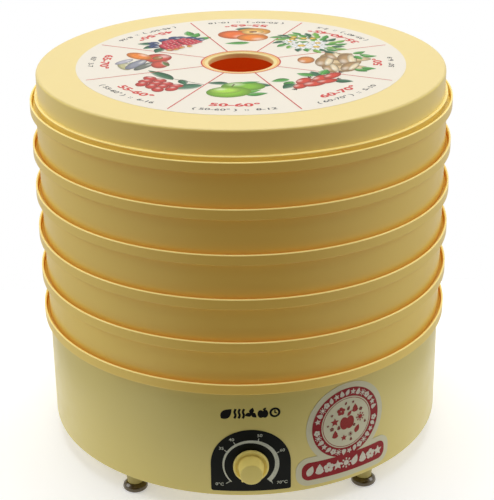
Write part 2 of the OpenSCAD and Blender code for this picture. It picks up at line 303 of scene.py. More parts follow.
@dataclass(frozen=True)
class Ink:
    """Printed colour read from each shape's own tint, with a rounded shade across it."""

    name: str
    roughness: float = 0.45
    rim_shade: float = 0.5
    shine: float = 0.5
    sheen: float = 0.4

    def make(self) -> bpy.types.Material:
        """Builds the material.

        Returns:
            The material.
        """
        board = NodeBoard(self.name)
        tint = board.add("ShaderNodeAttribute", attribute_name="tint")
        shade = board.add("ShaderNodeUVMap", uv_map="shade")
        reach = board.add("ShaderNodeVectorMath", operation="LENGTH")
        board.link(shade.outputs["UV"], reach.inputs[0])
        rim = board.span(reach.outputs["Value"], 1.0, self.rim_shade, 0.45, 1.0)
        darker = board.add("ShaderNodeMix", data_type="RGBA", blend_type="MULTIPLY")
        darker.inputs["Factor"].default_value = 1.0
        board.link(tint.outputs["Color"], darker.inputs["A"])
        board.link(rim, darker.inputs["B"])
        gap = board.add("ShaderNodeVectorMath", operation="DISTANCE")
        gap.inputs[1].default_value = (-0.36, 0.42, 0.0)
        board.link(shade.outputs["UV"], gap.inputs[0])
        spot = board.span(gap.outputs["Value"], self.shine, 0.0, 0.05, 0.5)
        lighter = board.add("ShaderNodeMix", data_type="RGBA")
        lighter.inputs["B"].default_value = (1.0, 0.95, 0.85, 1)
        board.link(spot, lighter.inputs["Factor"])
        board.link(darker.outputs["Result"], lighter.inputs["A"])
        speck = board.add("ShaderNodeMix", data_type="RGBA", blend_type="MULTIPLY")
        speck.inputs["Factor"].default_value = 1.0
        board.link(lighter.outputs["Result"], speck.inputs["A"])
        board.link(board.span(board.noise(700.0), 0.86, 1.08, 0.3, 0.7), speck.inputs["B"])
        board.link(speck.outputs["Result"], board.shader.inputs["Base Color"])
        board.set(Roughness=self.roughness, Specular_IOR_Level=self.sheen)
        return board.material


class Look(Enum):
    """The finishes that the pieces choose from."""

    CREAM = Plastic("cream_plastic", (0.73, 0.605, 0.185), 0.31, 0.01)
    # painted shade: the bottom plate and its foot bosses are the cream plastic darkened for the shade underneath
    UNDERSIDE_SHADE = Plastic("underside_painted_shade", (0.44, 0.36, 0.10), 0.33, 0.01)
    KNOB = Plastic("knob_plastic", (0.90, 0.74, 0.21), 0.31, 0.01)
    # painted glow: the lid plastic carries a faint red emission; its outer side is a more olive copy of it with a
    # stronger emission, painted light for the side
    LID = Plastic("lid_plastic_painted_glow", (0.85, 0.72, 0.30), 0.31, 0.01, glow=(1.0, 0.12, 0.0), glow_power=0.05)
    LID_SIDE_GLOW = Plastic("lid_side_painted_glow", (0.86, 0.75, 0.22), 0.31, 0.01, glow=(1.0, 0.12, 0.0), glow_power=0.075)
    # painted glow: the trays carry a red emission in place of light coming through the plastic; their inside and floor
    # are deeper orange copies of the plastic with a stronger emission, painted light for the lit inside
    TRAY = Plastic("tray_plastic", (0.79, 0.675, 0.15), 0.31, 0.012, glow=(1.0, 0.12, 0.0), glow_power=0.085)
    TRAY_INSIDE_GLOW = Plastic("tray_inside_painted_glow", (0.90, 0.61, 0.13), 0.32, 0.02,
                          glow=(1.0, 0.09, 0.01), glow_power=0.10)
    TRAY_FLOOR_GLOW = Plastic("tray_floor", (0.90, 0.59, 0.13), 0.35, 0.03,
                         glow=(1.0, 0.09, 0.01), glow_power=0.105)
    # painted highlight: the rims' top edges are a paler, glossier copy of the plastic with a strong yellow emission
    RIM_EDGE_HIGHLIGHT = Plastic("rim_edge_painted_highlight", (0.95, 0.78, 0.30), 0.22, 0.01, glow=(1.0, 0.76, 0.24), glow_power=0.28)
    # painted glow: a yellow emission on the rims' inner faces and ledges and on the lid's skirt below its lip, the
    # recessed gap above the next tray
    RIM_GAP_GLOW = Plastic("rim_gap_painted_glow", (0.84, 0.70, 0.22), 0.4, 0.02, glow=(1.0, 0.75, 0.12), glow_power=0.10)
    LABEL = Plastic("label_paper", srgb(238, 230, 214), 0.5, 0.01, 0.00001)
    PANEL = Plastic("panel_black", srgb(16, 18, 12), 0.5, 0.1, 0.00001, 0.15)
    BADGE = Plastic("badge_film", srgb(208, 203, 170), 0.42, 0.015, 0.00001)
    FOOT = Rubber("foot_rubber", srgb(90, 72, 30), 0.22, 0.8)
    BLACK = Plastic("black_plastic", srgb(26, 26, 26), 0.45, 0.1, 0.00005)
    WHITE = Plastic("white_plastic", srgb(228, 226, 216), 0.45)
    CERAMIC = Plastic("white_ceramic", srgb(232, 229, 218), 0.6, 0.03, 0.00005)
    STEEL = Metal("screw_steel", srgb(180, 181, 184), 0.3)
    ZINC = Metal("aluminium", srgb(200, 202, 205), 0.38)
    HEATER = Metal("heater_steel", srgb(128, 112, 98), 0.4)
    CORE = Metal("motor_steel", srgb(140, 142, 147), 0.42, (10.0, 10.0, 2600.0))
    WINDING = Metal("winding", srgb(196, 108, 50), 0.3, (30.0, 900.0, 30.0))
    BRASS = Metal("bush_brass", srgb(196, 158, 84), 0.4)
    WIRE = Rubber("wire_red", srgb(176, 46, 32), 0.4)
    INK = Ink("label_ink")
    PANEL_INK = Ink("panel_ink", 0.5, 1.0, 0.0, 0.15)


_made: dict[str, bpy.types.Material] = {}


def material(look: Look) -> bpy.types.Material:
    """Gives a finish's material, built once.

    Args:
        look: The finish.

    Returns:
        The material.
    """
    finish = look.value
    if finish.name not in _made:
        _made[finish.name] = finish.make()
    return _made[finish.name]


# ---------------------------------------------------------------- mesh tools


def fillet(corners: Sequence[Corner], steps: int = 5) -> list[Point2]:
    """Rounds the corners of a closed outline.

    Args:
        corners: Each corner's two coordinates and its radius, all in millimetres.
        steps: Flats in each rounding.

    Returns:
        The rounded outline, with a guard point each side of every rounding.
    """
    outline: list[Point2] = []
    count = len(corners)
    for i, (x, y, radius) in enumerate(corners):
        here = Vector((x, y))
        if radius <= 0:
            outline.append((x, y))
            continue
        before = Vector(corners[i - 1][:2]) - here
        after = Vector(corners[(i + 1) % count][:2]) - here
        angle = before.angle(after)
        room = 0.49 * min(before.length, after.length)
        cut = min(radius / tan(angle / 2), room)
        radius = cut * tan(angle / 2)
        before.normalize()
        after.normalize()
        centre = here + (before + after).normalized() * radius / sin(angle / 2)
        start = here + before * cut - centre
        end = here + after * cut - centre
        turn = acos(max(-1.0, min(1.0, start.normalized().dot(end.normalized()))))
        guard = min(0.35 * cut, 0.9 * (room - cut))
        if guard > 0.02:
            outline.append(tuple(centre + start + before * guard))
        for k in range(steps + 1):
            t = k / steps
            outline.append(tuple(centre + (start * sin((1 - t) * turn) + end * sin(t * turn)) / sin(turn)))
        if guard > 0.02:
            outline.append(tuple(centre + end + after * guard))
    return outline


def new_object(name: str, mesh: bpy.types.Mesh) -> bpy.types.Object:
    """Links a new object for a mesh into the scene.

    Args:
        name: The object's name.
        mesh: Its mesh.

    Returns:
        The object.
    """
    piece = bpy.data.objects.new(name, mesh)
    bpy.context.scene.collection.objects.link(piece)
    return piece


def smooth(mesh: bpy.types.Mesh, limit: float = 32.0) -> None:
    """Shades a mesh smooth, with edges kept above a limit in degrees."""
    mesh.shade_smooth()
    mesh.set_sharp_from_angle(angle=radians(limit))


def lathe(name: str, outline: Sequence[Point2], segments: int = 240,
          place: Matrix | None = None) -> bpy.types.Object:
    """Turns a closed outline into a solid of revolution about Z.

    Args:
        name: The new object's name.
        outline: Radius and height of each point, in millimetres.
        segments: Flats round the axis.
        place: Where the finished solid goes, if not as drawn.

    Returns:
        The new object.
    """
    count = len(outline)
    points = []
    for k in range(segments):
        c, s = cos(ROUND * k / segments), sin(ROUND * k / segments)
        points += [(r * c * MM, r * s * MM, z * MM) for r, z in outline]
    faces = []
    for k in range(segments):
        a, b = k * count, (k + 1) % segments * count
        for i in range(count):
            j = (i + 1) % count
            if outline[i][0] > 1e-6 or outline[j][0] > 1e-6:
                faces.append((a + i, b + i, b + j, a + j))
    mesh = bpy.data.meshes.new(name)
    mesh.from_pydata(points, [], faces)
    made = bmesh.new()
    made.from_mesh(mesh)
    if min(r for r, _ in outline) < 1e-6:
        bmesh.ops.remove_doubles(made, verts=made.verts, dist=1e-7)
    bmesh.ops.recalc_face_normals(made, faces=made.faces)
    if place is not None:
        made.transform(place)
    made.to_mesh(mesh)
    made.free()
    smooth(mesh)
    return new_object(name, mesh)


def finish_piece(piece: bpy.types.Object, look: Look, body: str,
                 replaces: Sequence[str] = ()) -> bpy.types.Object:
    """Dresses a piece, ties it to its body and hides the CAD nodes that it stands for.

    Args:
        piece: The piece.
        look: Its finish, unless it already has materials.
        body: The body that it moves with.
        replaces: The CAD nodes that it stands for.

    Returns:
        The same piece.
    """
    if not piece.data.materials:
        piece.data.materials.append(material(look))
    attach(piece, body)
    if replaces:
        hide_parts(*replaces)
    log.info("%s: %d faces, rides on %s", piece.name, len(piece.data.polygons), body)
    return piece


# ---------------------------------------------------------------- printed shapes


class Surface(Protocol):
    """A surface that printed shapes are laid on."""

    def put(self, x: float, y: float, lift: float) -> Point3:
        """Gives the place of a flat point."""


@dataclass(frozen=True)
class WallSurface:
    """The base's round wall: x runs along it to the right and y is the height, in millimetres."""

    radius: float
    angle: float = 0.0

    def put(self, x: float, y: float, lift: float) -> Point3:
        """Gives the place of a flat point.

        Args:
            x: Distance across, in millimetres.
            y: Distance up or outwards.
            lift: Height above the surface.

        Returns:
            The point, in metres.
        """
        turn = radians(self.angle) + x / self.radius
        reach = (self.radius + lift) * MM
        return reach * sin(turn), -reach * cos(turn), y * MM


@dataclass(frozen=True)
class LidSurface:
    """A straight patch of the lid: x runs along its edge and y towards its middle, in millimetres."""

    height: float
    angle: float
    radius: float

    def put(self, x: float, y: float, lift: float) -> Point3:
        """Gives the place of a flat point.

        Args:
            x: Distance across, in millimetres.
            y: Distance up or outwards.
            lift: Height above the surface.

        Returns:
            The point, in metres.
        """
        a = radians(self.angle)
        out = self.radius - y
        return (out * sin(a) + x * cos(a)) * MM, (x * sin(a) - out * cos(a)) * MM, (self.height + lift) * MM


@dataclass(frozen=True)
class LidArc:
    """A patch of the lid bent round its middle, for lines of numbers, in millimetres."""

    height: float
    angle: float
    radius: float

    def put(self, x: float, y: float, lift: float) -> Point3:
        """Gives the place of a flat point.

        Args:
            x: Distance across, in millimetres.
            y: Distance up or outwards.
            lift: Height above the surface.

        Returns:
            The point, in metres.
        """
        a = radians(self.angle) + x / self.radius
        out = (self.radius - y) * MM
        return out * sin(a), -out * cos(a), (self.height + lift) * MM


class Sheet:
    """Printed shapes on one piece, each a hair above the one before."""

    def __init__(self, name: str, surface: Surface, lift: float = 0.04, step: float = 0.003) -> None:
        """Starts an empty sheet.

        Args:
            name: The piece's name.
            surface: What the shapes are laid on.
            lift: Height of the first shape above the surface, in millimetres.
            step: Height of each shape above the one before.
        """
        self.name = name
        self.surface = surface
        self.level = lift
        self.step = step
        self.points: list[Point3] = []
        self.faces: list[tuple[int, ...]] = []
        self.shades: list[Point2] = []
        self.tints: list[Colour] = []

    def _start(self) -> int:
        """Lifts the next shape, and gives the number of its first point."""
        self.level += self.step
        return len(self.points)

    def _point(self, x: float, y: float, tint: Colour, shade: Point2 = (0.0, 0.0)) -> int:
        """Adds one point and gives its number.

        Args:
            x: Distance across.
            y: Distance up.
            tint: Its colour.
            shade: Where it lies in the shape's rounded shade.

        Returns:
            The corner's number.
        """
        self.points.append(self.surface.put(x, y, self.level))
        self.shades.append(shade)
        self.tints.append(tint)
        return len(self.points) - 1

    def blob(self, x: float, y: float, wide: float, high: float, tint: Colour, turn: float = 0.0,
             wobble: float = 0.0, lobes: int = 3, sides: int = 22) -> None:
        """A round shaded shape, such as a fruit.

        Args:
            x: Its middle, across.
            y: Its middle, up.
            wide: Its width.
            high: Its height.
            tint: Its colour.
            turn: How far it is turned, in degrees.
            wobble: How far its outline waves, as a share of its size.
            lobes: Waves round the outline.
            sides: Points round the outline.
        """
        self._start()
        a = radians(turn)
        centre = self._point(x, y, tint)
        rings = []
        for share in (0.5, 0.8, 1.0):
            ring = []
            for k in range(sides):
                t = ROUND * k / sides
                r = share * (1 + wobble * cos(lobes * t))
                px, py = wide / 2 * r * cos(t), high / 2 * r * sin(t)
                ring.append(self._point(x + px * cos(a) - py * sin(a), y + px * sin(a) + py * cos(a), tint,
                                        (share * cos(t + a), share * sin(t + a))))
            rings.append(ring)
        for k in range(sides):
            j = (k + 1) % sides
            self.faces.append((centre, rings[0][k], rings[0][j]))
            for low, high_ring in zip(rings, rings[1:]):
                self.faces.append((low[k], high_ring[k], high_ring[j], low[j]))

    def leaf(self, x: float, y: float, length: float, width: float, turn: float, tint: Colour,
             bend: float = 0.0, vein: bool = True) -> None:
        """A pointed leaf with a lit half and a shaded half.

        Args:
            x: Its stalk end, across.
            y: Its stalk end, up.
            length: Its length.
            width: Its greatest width.
            turn: The way that it points, in degrees from the right.
            tint: Its colour.
            bend: How far its tip bends aside.
            vein: Whether it has a pale midrib.
        """
        self._start()
        a = radians(turn)
        stations = 9

        def spot(along: float, aside: float) -> Point2:
            """A point of the leaf in the sheet's coordinates."""
            aside += bend * along * along
            return x + length * along * cos(a) - aside * sin(a), y + length * along * sin(a) + aside * cos(a)
        rows = []
        for k in range(stations + 1):
            t = k / stations
            half = width / 2 * sin(pi * t ** 0.8) ** 0.9 if 0 < t < 1 else 0.0
            row = [self._point(*spot(t, side * half), tint, shade)
                   for side, shade in ((-1, (0.95, -0.3)), (0, (0.2, 0.0)), (1, (-0.3, 0.3)))]
            rows.append(row)
        for first, second in zip(rows, rows[1:]):
            self.faces.append((first[0], second[0], second[1], first[1]))
            self.faces.append((first[1], second[1], second[2], first[2]))
        if vein:
            pale = tuple(min(1.0, c * 1.7 + 0.05) for c in tint)
            tip = spot(0.9, 0)
            self.bar(x, y, tip[0], tip[1], max(0.25, width * 0.05), pale)

    def bar(self, x0: float, y0: float, x1: float, y1: float, width: float, tint: Colour) -> None:
        """A straight line of one width between two points.

        Args:
            x0: Start, across.
            y0: Start, up.
            x1: End, across.
            y1: End, up.
            width: The line's width.
            tint: Its colour.
        """
        self._start()
        run = Vector((x1 - x0, y1 - y0)).normalized() * width / 2
        corners = [(x0 + run.y, y0 - run.x), (x1 + run.y, y1 - run.x),
                   (x1 - run.y, y1 + run.x), (x0 - run.y, y0 + run.x)]
        self.faces.append(tuple(self._point(px, py, tint) for px, py in corners))

    def fan(self, outline: Sequence[Point2], tint: Colour) -> None:
        """A flat shape of one colour, filled from the middle of its outline.

        Args:
            outline: Its corners in order.
            tint: Its colour.
        """
        self._start()
        count = len(outline)
        middle = self._point(sum(p[0] for p in outline) / count, sum(p[1] for p in outline) / count, tint)
        ring = [self._point(px, py, tint) for px, py in outline]
        self.faces += [(middle, ring[k], ring[(k + 1) % count]) for k in range(count)]

    def band(self, x: float, y: float, inner: float, outer: float, start: float, end: float, tint: Colour,
             inner_end: float | None = None, sides: int = 72) -> None:
        """Part of a ring.

        Args:
            x: The ring's middle, across.
            y: The ring's middle, up.
            inner: Its inner radius.
            outer: Its outer radius.
            start: Where it starts, in degrees from straight up, clockwise.
            end: Where it ends.
            tint: Its colour.
            inner_end: The inner radius at the end, if the band widens.
            sides: Flats along it.
        """
        self._start()
        last = inner if inner_end is None else inner_end
        rows = []
        for k in range(sides + 1):
            t = k / sides
            a = radians(start + (end - start) * t)
            low = inner + (last - inner) * t
            rows.append((self._point(x + outer * sin(a), y + outer * cos(a), tint),
                         self._point(x + low * sin(a), y + low * cos(a), tint)))
        self.faces += [(a[1], b[1], b[0], a[0]) for a, b in zip(rows, rows[1:])]

    def strips(self, left: float, right: float, low: Callable[[float], float],
               high: Callable[[float], float], tint: Colour, count: int = 48) -> None:
        """A flat shape cut into upright strips, so that it follows a round wall.

        Args:
            left: Its left end.
            right: Its right end.
            low: Gives its lower edge at a place across.
            high: Gives its upper edge at a place across.
            tint: Its colour.
            count: Number of strips.
        """
        self._start()
        middle, half = (left + right) / 2, (right - left) / 2
        rows = []
        for k in range(count + 1):
            x = middle - half * cos(pi * k / count)
            rows.append((self._point(x, low(x), tint), self._point(x, high(x), tint)))
        self.faces += [(a[0], b[0], b[1], a[1]) for a, b in zip(rows, rows[1:])]

    def letters(self, words: str, x: float, y: float, height: float, tint: Colour, bold: float = 0.0,
                stretch: float = 1.0) -> None:
        """Numbers and marks, centred on a point.

        Args:
            words: What is printed.
            x: Middle, across.
            y: Middle, up.
            height: Height of a figure.
            tint: Colour.
            bold: How far the strokes are thickened.
            stretch: How wide they are set.
        """
        self._start()
        curve = bpy.data.curves.new("figures", "FONT")
        curve.body = words
        curve.size = 1.0
        curve.offset = bold
        curve.resolution_u = 3
        curve.align_x = "CENTER"
        curve.align_y = "CENTER"
        holder = bpy.data.objects.new("figures", curve)
        bpy.context.scene.collection.objects.link(holder)
        bpy.context.view_layer.update()
        flat = bpy.data.meshes.new_from_object(holder.evaluated_get(bpy.context.evaluated_depsgraph_get()))
        scale = height / 0.7
        first = len(self.points)
        for vertex in flat.vertices:
            self._point(x + vertex.co.x * scale * stretch, y + vertex.co.y * scale, tint)
        for face in flat.polygons:
            order = list(face.vertices)
            if face.normal.z < 0:
                order.reverse()
            self.faces.append(tuple(first + v for v in order))
        bpy.data.objects.remove(holder)
        bpy.data.curves.remove(curve)
        bpy.data.meshes.remove(flat)

    def build(self, look: Look, body: str, slot: str, replaces: Sequence[str] = (),
              depth: float = 0.0) -> bpy.types.Object:
        """Makes the sheet's piece.

        Args:
            look: Its finish.
            body: The body that it moves with.
            slot: Not used.
            replaces: CAD nodes that it stands for.
            depth: How far its edges turn down to the surface, in millimetres.

        Returns:
            The piece.
        """
        mesh = bpy.data.meshes.new(self.name)
        mesh.from_pydata(self.points, [], self.faces)
        shade = mesh.uv_layers.new(name="shade")
        corners = [0] * len(mesh.loops)
        mesh.loops.foreach_get("vertex_index", corners)
        shade.data.foreach_set("uv", [v for k in corners for v in self.shades[k]])
        tint = mesh.color_attributes.new(name="tint", type="FLOAT_COLOR", domain="POINT")
        tint.data.foreach_set("color", [v for c in self.tints for v in (*c, 1.0)])
        if depth:
            made = bmesh.new()
            made.from_mesh(mesh)
            edges = [e for e in made.edges if e.is_boundary]
            grown = bmesh.ops.extrude_edge_only(made, edges=edges)["geom"]
            for vertex in (v for v in grown if isinstance(v, bmesh.types.BMVert)):
                out = Vector((vertex.co.x, vertex.co.y, 0))
                vertex.co -= out.normalized() * depth * MM
            made.to_mesh(mesh)
            made.free()
        smooth(mesh)
        return finish_piece(new_object(self.name, mesh), look, body, replaces)


# ---------------------------------------------------------------- what repeats


class RepeatTree:
    """Geometry Nodes trees for what repeats, and their turning into plain meshes."""

    @staticmethod
    def _new(name: str, inputs: dict[str, tuple[str, object]]
             ) -> tuple[bpy.types.GeometryNodeTree, bpy.types.Node, bpy.types.Node]:
        """Starts a tree with named inputs.

        Args:
            name: The tree's name.
            inputs: Each input's socket type and default value.

        Returns:
            The tree, its input node and its output node.
        """
        tree = bpy.data.node_groups.new(name, "GeometryNodeTree")
        tree.interface.new_socket("Geometry", in_out="INPUT", socket_type="NodeSocketGeometry")
        for key, (kind, value) in inputs.items():
            socket = tree.interface.new_socket(key, in_out="INPUT", socket_type=kind)
            if value is not None:
                socket.default_value = value
        tree.interface.new_socket("Geometry", in_out="OUTPUT", socket_type="NodeSocketGeometry")
        return tree, tree.nodes.new("NodeGroupInput"), tree.nodes.new("NodeGroupOutput")

    @staticmethod
    def grid(look: Look) -> bpy.types.GeometryNodeTree:
        """The tree of a tray's floor: rings and spokes of one bar section.

        Args:
            look: The finish of the floor.

        Returns:
            The tree.
        """
        tree, given, output = RepeatTree._new("TrayFloor", {
            "Rings": ("NodeSocketInt", 18), "Spokes": ("NodeSocketInt", 48),
            "Hub Radius": ("NodeSocketFloat", 0.014), "Radius": ("NodeSocketFloat", 0.188),
            "Bar": ("NodeSocketFloat", 0.0016), "Thickness": ("NodeSocketFloat", 0.002),
            "Height": ("NodeSocketFloat", 0.0)})
        make, link = tree.nodes.new, tree.links.new

        def maths(operation: str, first: bpy.types.NodeSocket, second: bpy.types.NodeSocket | float,
                  third: bpy.types.NodeSocket | float | None = None) -> bpy.types.NodeSocket:
            """One arithmetic node.

            Args:
                operation: What it does.
                first: First value or socket.
                second: Second one.
                third: Third one, where the operation has it.

            Returns:
                The result's socket.
            """
            node = make("ShaderNodeMath")
            node.operation = operation
            for socket, value in zip(node.inputs, (first, second, third)):
                if isinstance(value, bpy.types.NodeSocket):
                    link(value, socket)
                elif value is not None:
                    socket.default_value = value
            return node.outputs[0]
        # rings: one unit circle on each point of a line, scaled by the ring's radius
        line = make("GeometryNodeMeshLine")
        link(given.outputs["Rings"], line.inputs["Count"])
        line.inputs["Offset"].default_value = (0, 0, 0)
        place = make("GeometryNodeInputIndex")
        gap = maths("DIVIDE", maths("SUBTRACT", given.outputs["Radius"], given.outputs["Hub Radius"]),
                    given.outputs["Rings"])
        reach = maths("MULTIPLY_ADD", place.outputs[0], gap, maths("ADD", given.outputs["Hub Radius"], gap))
        inset = maths("SUBTRACT", reach, maths("MULTIPLY", given.outputs["Bar"], 0.5))
        circle = make("GeometryNodeCurvePrimitiveCircle")
        circle.inputs["Resolution"].default_value = 120
        circle.inputs["Radius"].default_value = 1.0
        rings = make("GeometryNodeInstanceOnPoints")
        grow = make("ShaderNodeCombineXYZ")
        link(inset, grow.inputs[0])
        link(inset, grow.inputs[1])
        grow.inputs[2].default_value = 1.0
        link(line.outputs["Mesh"], rings.inputs["Points"])
        link(circle.outputs["Curve"], rings.inputs["Instance"])
        link(grow.outputs[0], rings.inputs["Scale"])
        solid_rings = make("GeometryNodeRealizeInstances")
        link(rings.outputs["Instances"], solid_rings.inputs["Geometry"])
        section = make("GeometryNodeCurvePrimitiveQuadrilateral")
        link(given.outputs["Bar"], section.inputs["Width"])
        link(given.outputs["Thickness"], section.inputs["Height"])
        swept = make("GeometryNodeCurveToMesh")
        link(solid_rings.outputs["Geometry"], swept.inputs["Curve"])
        link(section.outputs["Curve"], swept.inputs["Profile Curve"])
        # spokes: one bar on each point, turned by its number
        points = make("GeometryNodeMeshLine")
        link(given.outputs["Spokes"], points.inputs["Count"])
        points.inputs["Offset"].default_value = (0, 0, 0)
        bar = make("GeometryNodeMeshCube")
        size = make("ShaderNodeCombineXYZ")
        reach = maths("SUBTRACT", given.outputs["Radius"], given.outputs["Hub Radius"])
        length = maths("SUBTRACT", reach, 0.0005)
        link(length, size.inputs[0])
        link(maths("MULTIPLY", given.outputs["Bar"], 0.8), size.inputs[1])
        link(maths("MULTIPLY", given.outputs["Thickness"], 0.8), size.inputs[2])
        link(size.outputs[0], bar.inputs["Size"])
        shift = make("GeometryNodeTransform")
        offset = make("ShaderNodeCombineXYZ")
        link(maths("MULTIPLY_ADD", length, 0.5, given.outputs["Hub Radius"]), offset.inputs[0])
        link(bar.outputs["Mesh"], shift.inputs["Geometry"])
        link(offset.outputs[0], shift.inputs["Translation"])
        turn = make("ShaderNodeCombineXYZ")
        share = maths("MULTIPLY", place.outputs[0], ROUND)
        link(maths("DIVIDE", share, given.outputs["Spokes"]), turn.inputs[2])
        spokes = make("GeometryNodeInstanceOnPoints")
        link(points.outputs["Mesh"], spokes.inputs["Points"])
        link(shift.outputs["Geometry"], spokes.inputs["Instance"])
        link(turn.outputs[0], spokes.inputs["Rotation"])
        hub = make("GeometryNodeMeshCylinder")
        hub.inputs["Vertices"].default_value = 48
        link(maths("ADD", given.outputs["Hub Radius"], 0.001), hub.inputs["Radius"])
        link(given.outputs["Thickness"], hub.inputs["Depth"])
        join = make("GeometryNodeJoinGeometry")
        for source in (hub.outputs["Mesh"], spokes.outputs["Instances"], swept.outputs["Mesh"]):
            link(source, join.inputs["Geometry"])
        lift = make("GeometryNodeTransform")
        up = make("ShaderNodeCombineXYZ")
        link(given.outputs["Height"], up.inputs[2])
        link(join.outputs["Geometry"], lift.inputs["Geometry"])
        link(up.outputs[0], lift.inputs["Translation"])
        RepeatTree._close(tree, lift.outputs["Geometry"], output, look)
        return tree

    @staticmethod
    def round_about(look: Look) -> bpy.types.GeometryNodeTree:
        """The tree that sets copies of a piece about the Z axis.

        Args:
            look: The finish of the copies.

        Returns:
            The tree.
        """
        tree, given, output = RepeatTree._new("RoundAbout", {
            "Count": ("NodeSocketInt", 6), "First Angle": ("NodeSocketFloat", 0.0),
            "Turn": ("NodeSocketFloat", ROUND)})
        make, link = tree.nodes.new, tree.links.new
        points = make("GeometryNodeMeshLine")
        points.inputs["Offset"].default_value = (0, 0, 0)
        link(given.outputs["Count"], points.inputs["Count"])
        place = make("GeometryNodeInputIndex")
        share = make("ShaderNodeMath")
        share.operation = "DIVIDE"
        link(place.outputs[0], share.inputs[0])
        link(given.outputs["Count"], share.inputs[1])
        angle = make("ShaderNodeMath")
        angle.operation = "MULTIPLY_ADD"
        link(share.outputs[0], angle.inputs[0])
        link(given.outputs["Turn"], angle.inputs[1])
        link(given.outputs["First Angle"], angle.inputs[2])
        turn = make("ShaderNodeCombineXYZ")
        link(angle.outputs[0], turn.inputs[2])
        copies = make("GeometryNodeInstanceOnPoints")
        link(points.outputs["Mesh"], copies.inputs["Points"])
        link(given.outputs["Geometry"], copies.inputs["Instance"])
        link(turn.outputs[0], copies.inputs["Rotation"])
        RepeatTree._close(tree, copies.outputs["Instances"], output, look)
        return tree

    @staticmethod
    def _close(tree: bpy.types.GeometryNodeTree, last: bpy.types.NodeSocket, output: bpy.types.Node,
               look: Look) -> None:
        """Ends a tree by making its copies real and setting their finish.

        Args:
            tree: The tree.
            last: The geometry to finish.
            output: The tree's output node.
            look: Its finish.
        """
        real = tree.nodes.new("GeometryNodeRealizeInstances")
        dress = tree.nodes.new("GeometryNodeSetMaterial")
        dress.inputs["Material"].default_value = material(look)
        tree.links.new(last, real.inputs["Geometry"])
        tree.links.new(real.outputs["Geometry"], dress.inputs["Geometry"])
        tree.links.new(dress.outputs["Geometry"], output.inputs["Geometry"])

    @staticmethod
    def bake(piece: bpy.types.Object, tree: bpy.types.GeometryNodeTree, values: dict[str, object],
             limit: float = 32.0) -> bpy.types.Object:
        """Runs a tree on a piece and keeps the result as a plain mesh.

        Args:
            piece: The piece that the tree starts from.
            tree: The tree.
            values: The inputs to set, by name.
            limit: Edges sharper than this, in degrees, stay sharp.

        Returns:
            The same piece, with its new mesh.
        """
        modifier = piece.modifiers.new(tree.name, "NODES")
        modifier.node_group = tree
        names = {item.name: item.identifier for item in tree.interface.items_tree
                 if item.item_type == "SOCKET" and item.in_out == "INPUT"}
        for key, value in values.items():
            modifier[names[key]] = value
        bpy.context.view_layer.update()
        solid = piece.evaluated_get(bpy.context.evaluated_depsgraph_get())
        mesh = bpy.data.meshes.new_from_object(solid)
        piece.modifiers.remove(modifier)
        old, piece.data = piece.data, mesh
        bpy.data.meshes.remove(old)
        mesh.name = piece.name
        smooth(mesh, limit)
        return piece


# ---------------------------------------------------------------- the studio


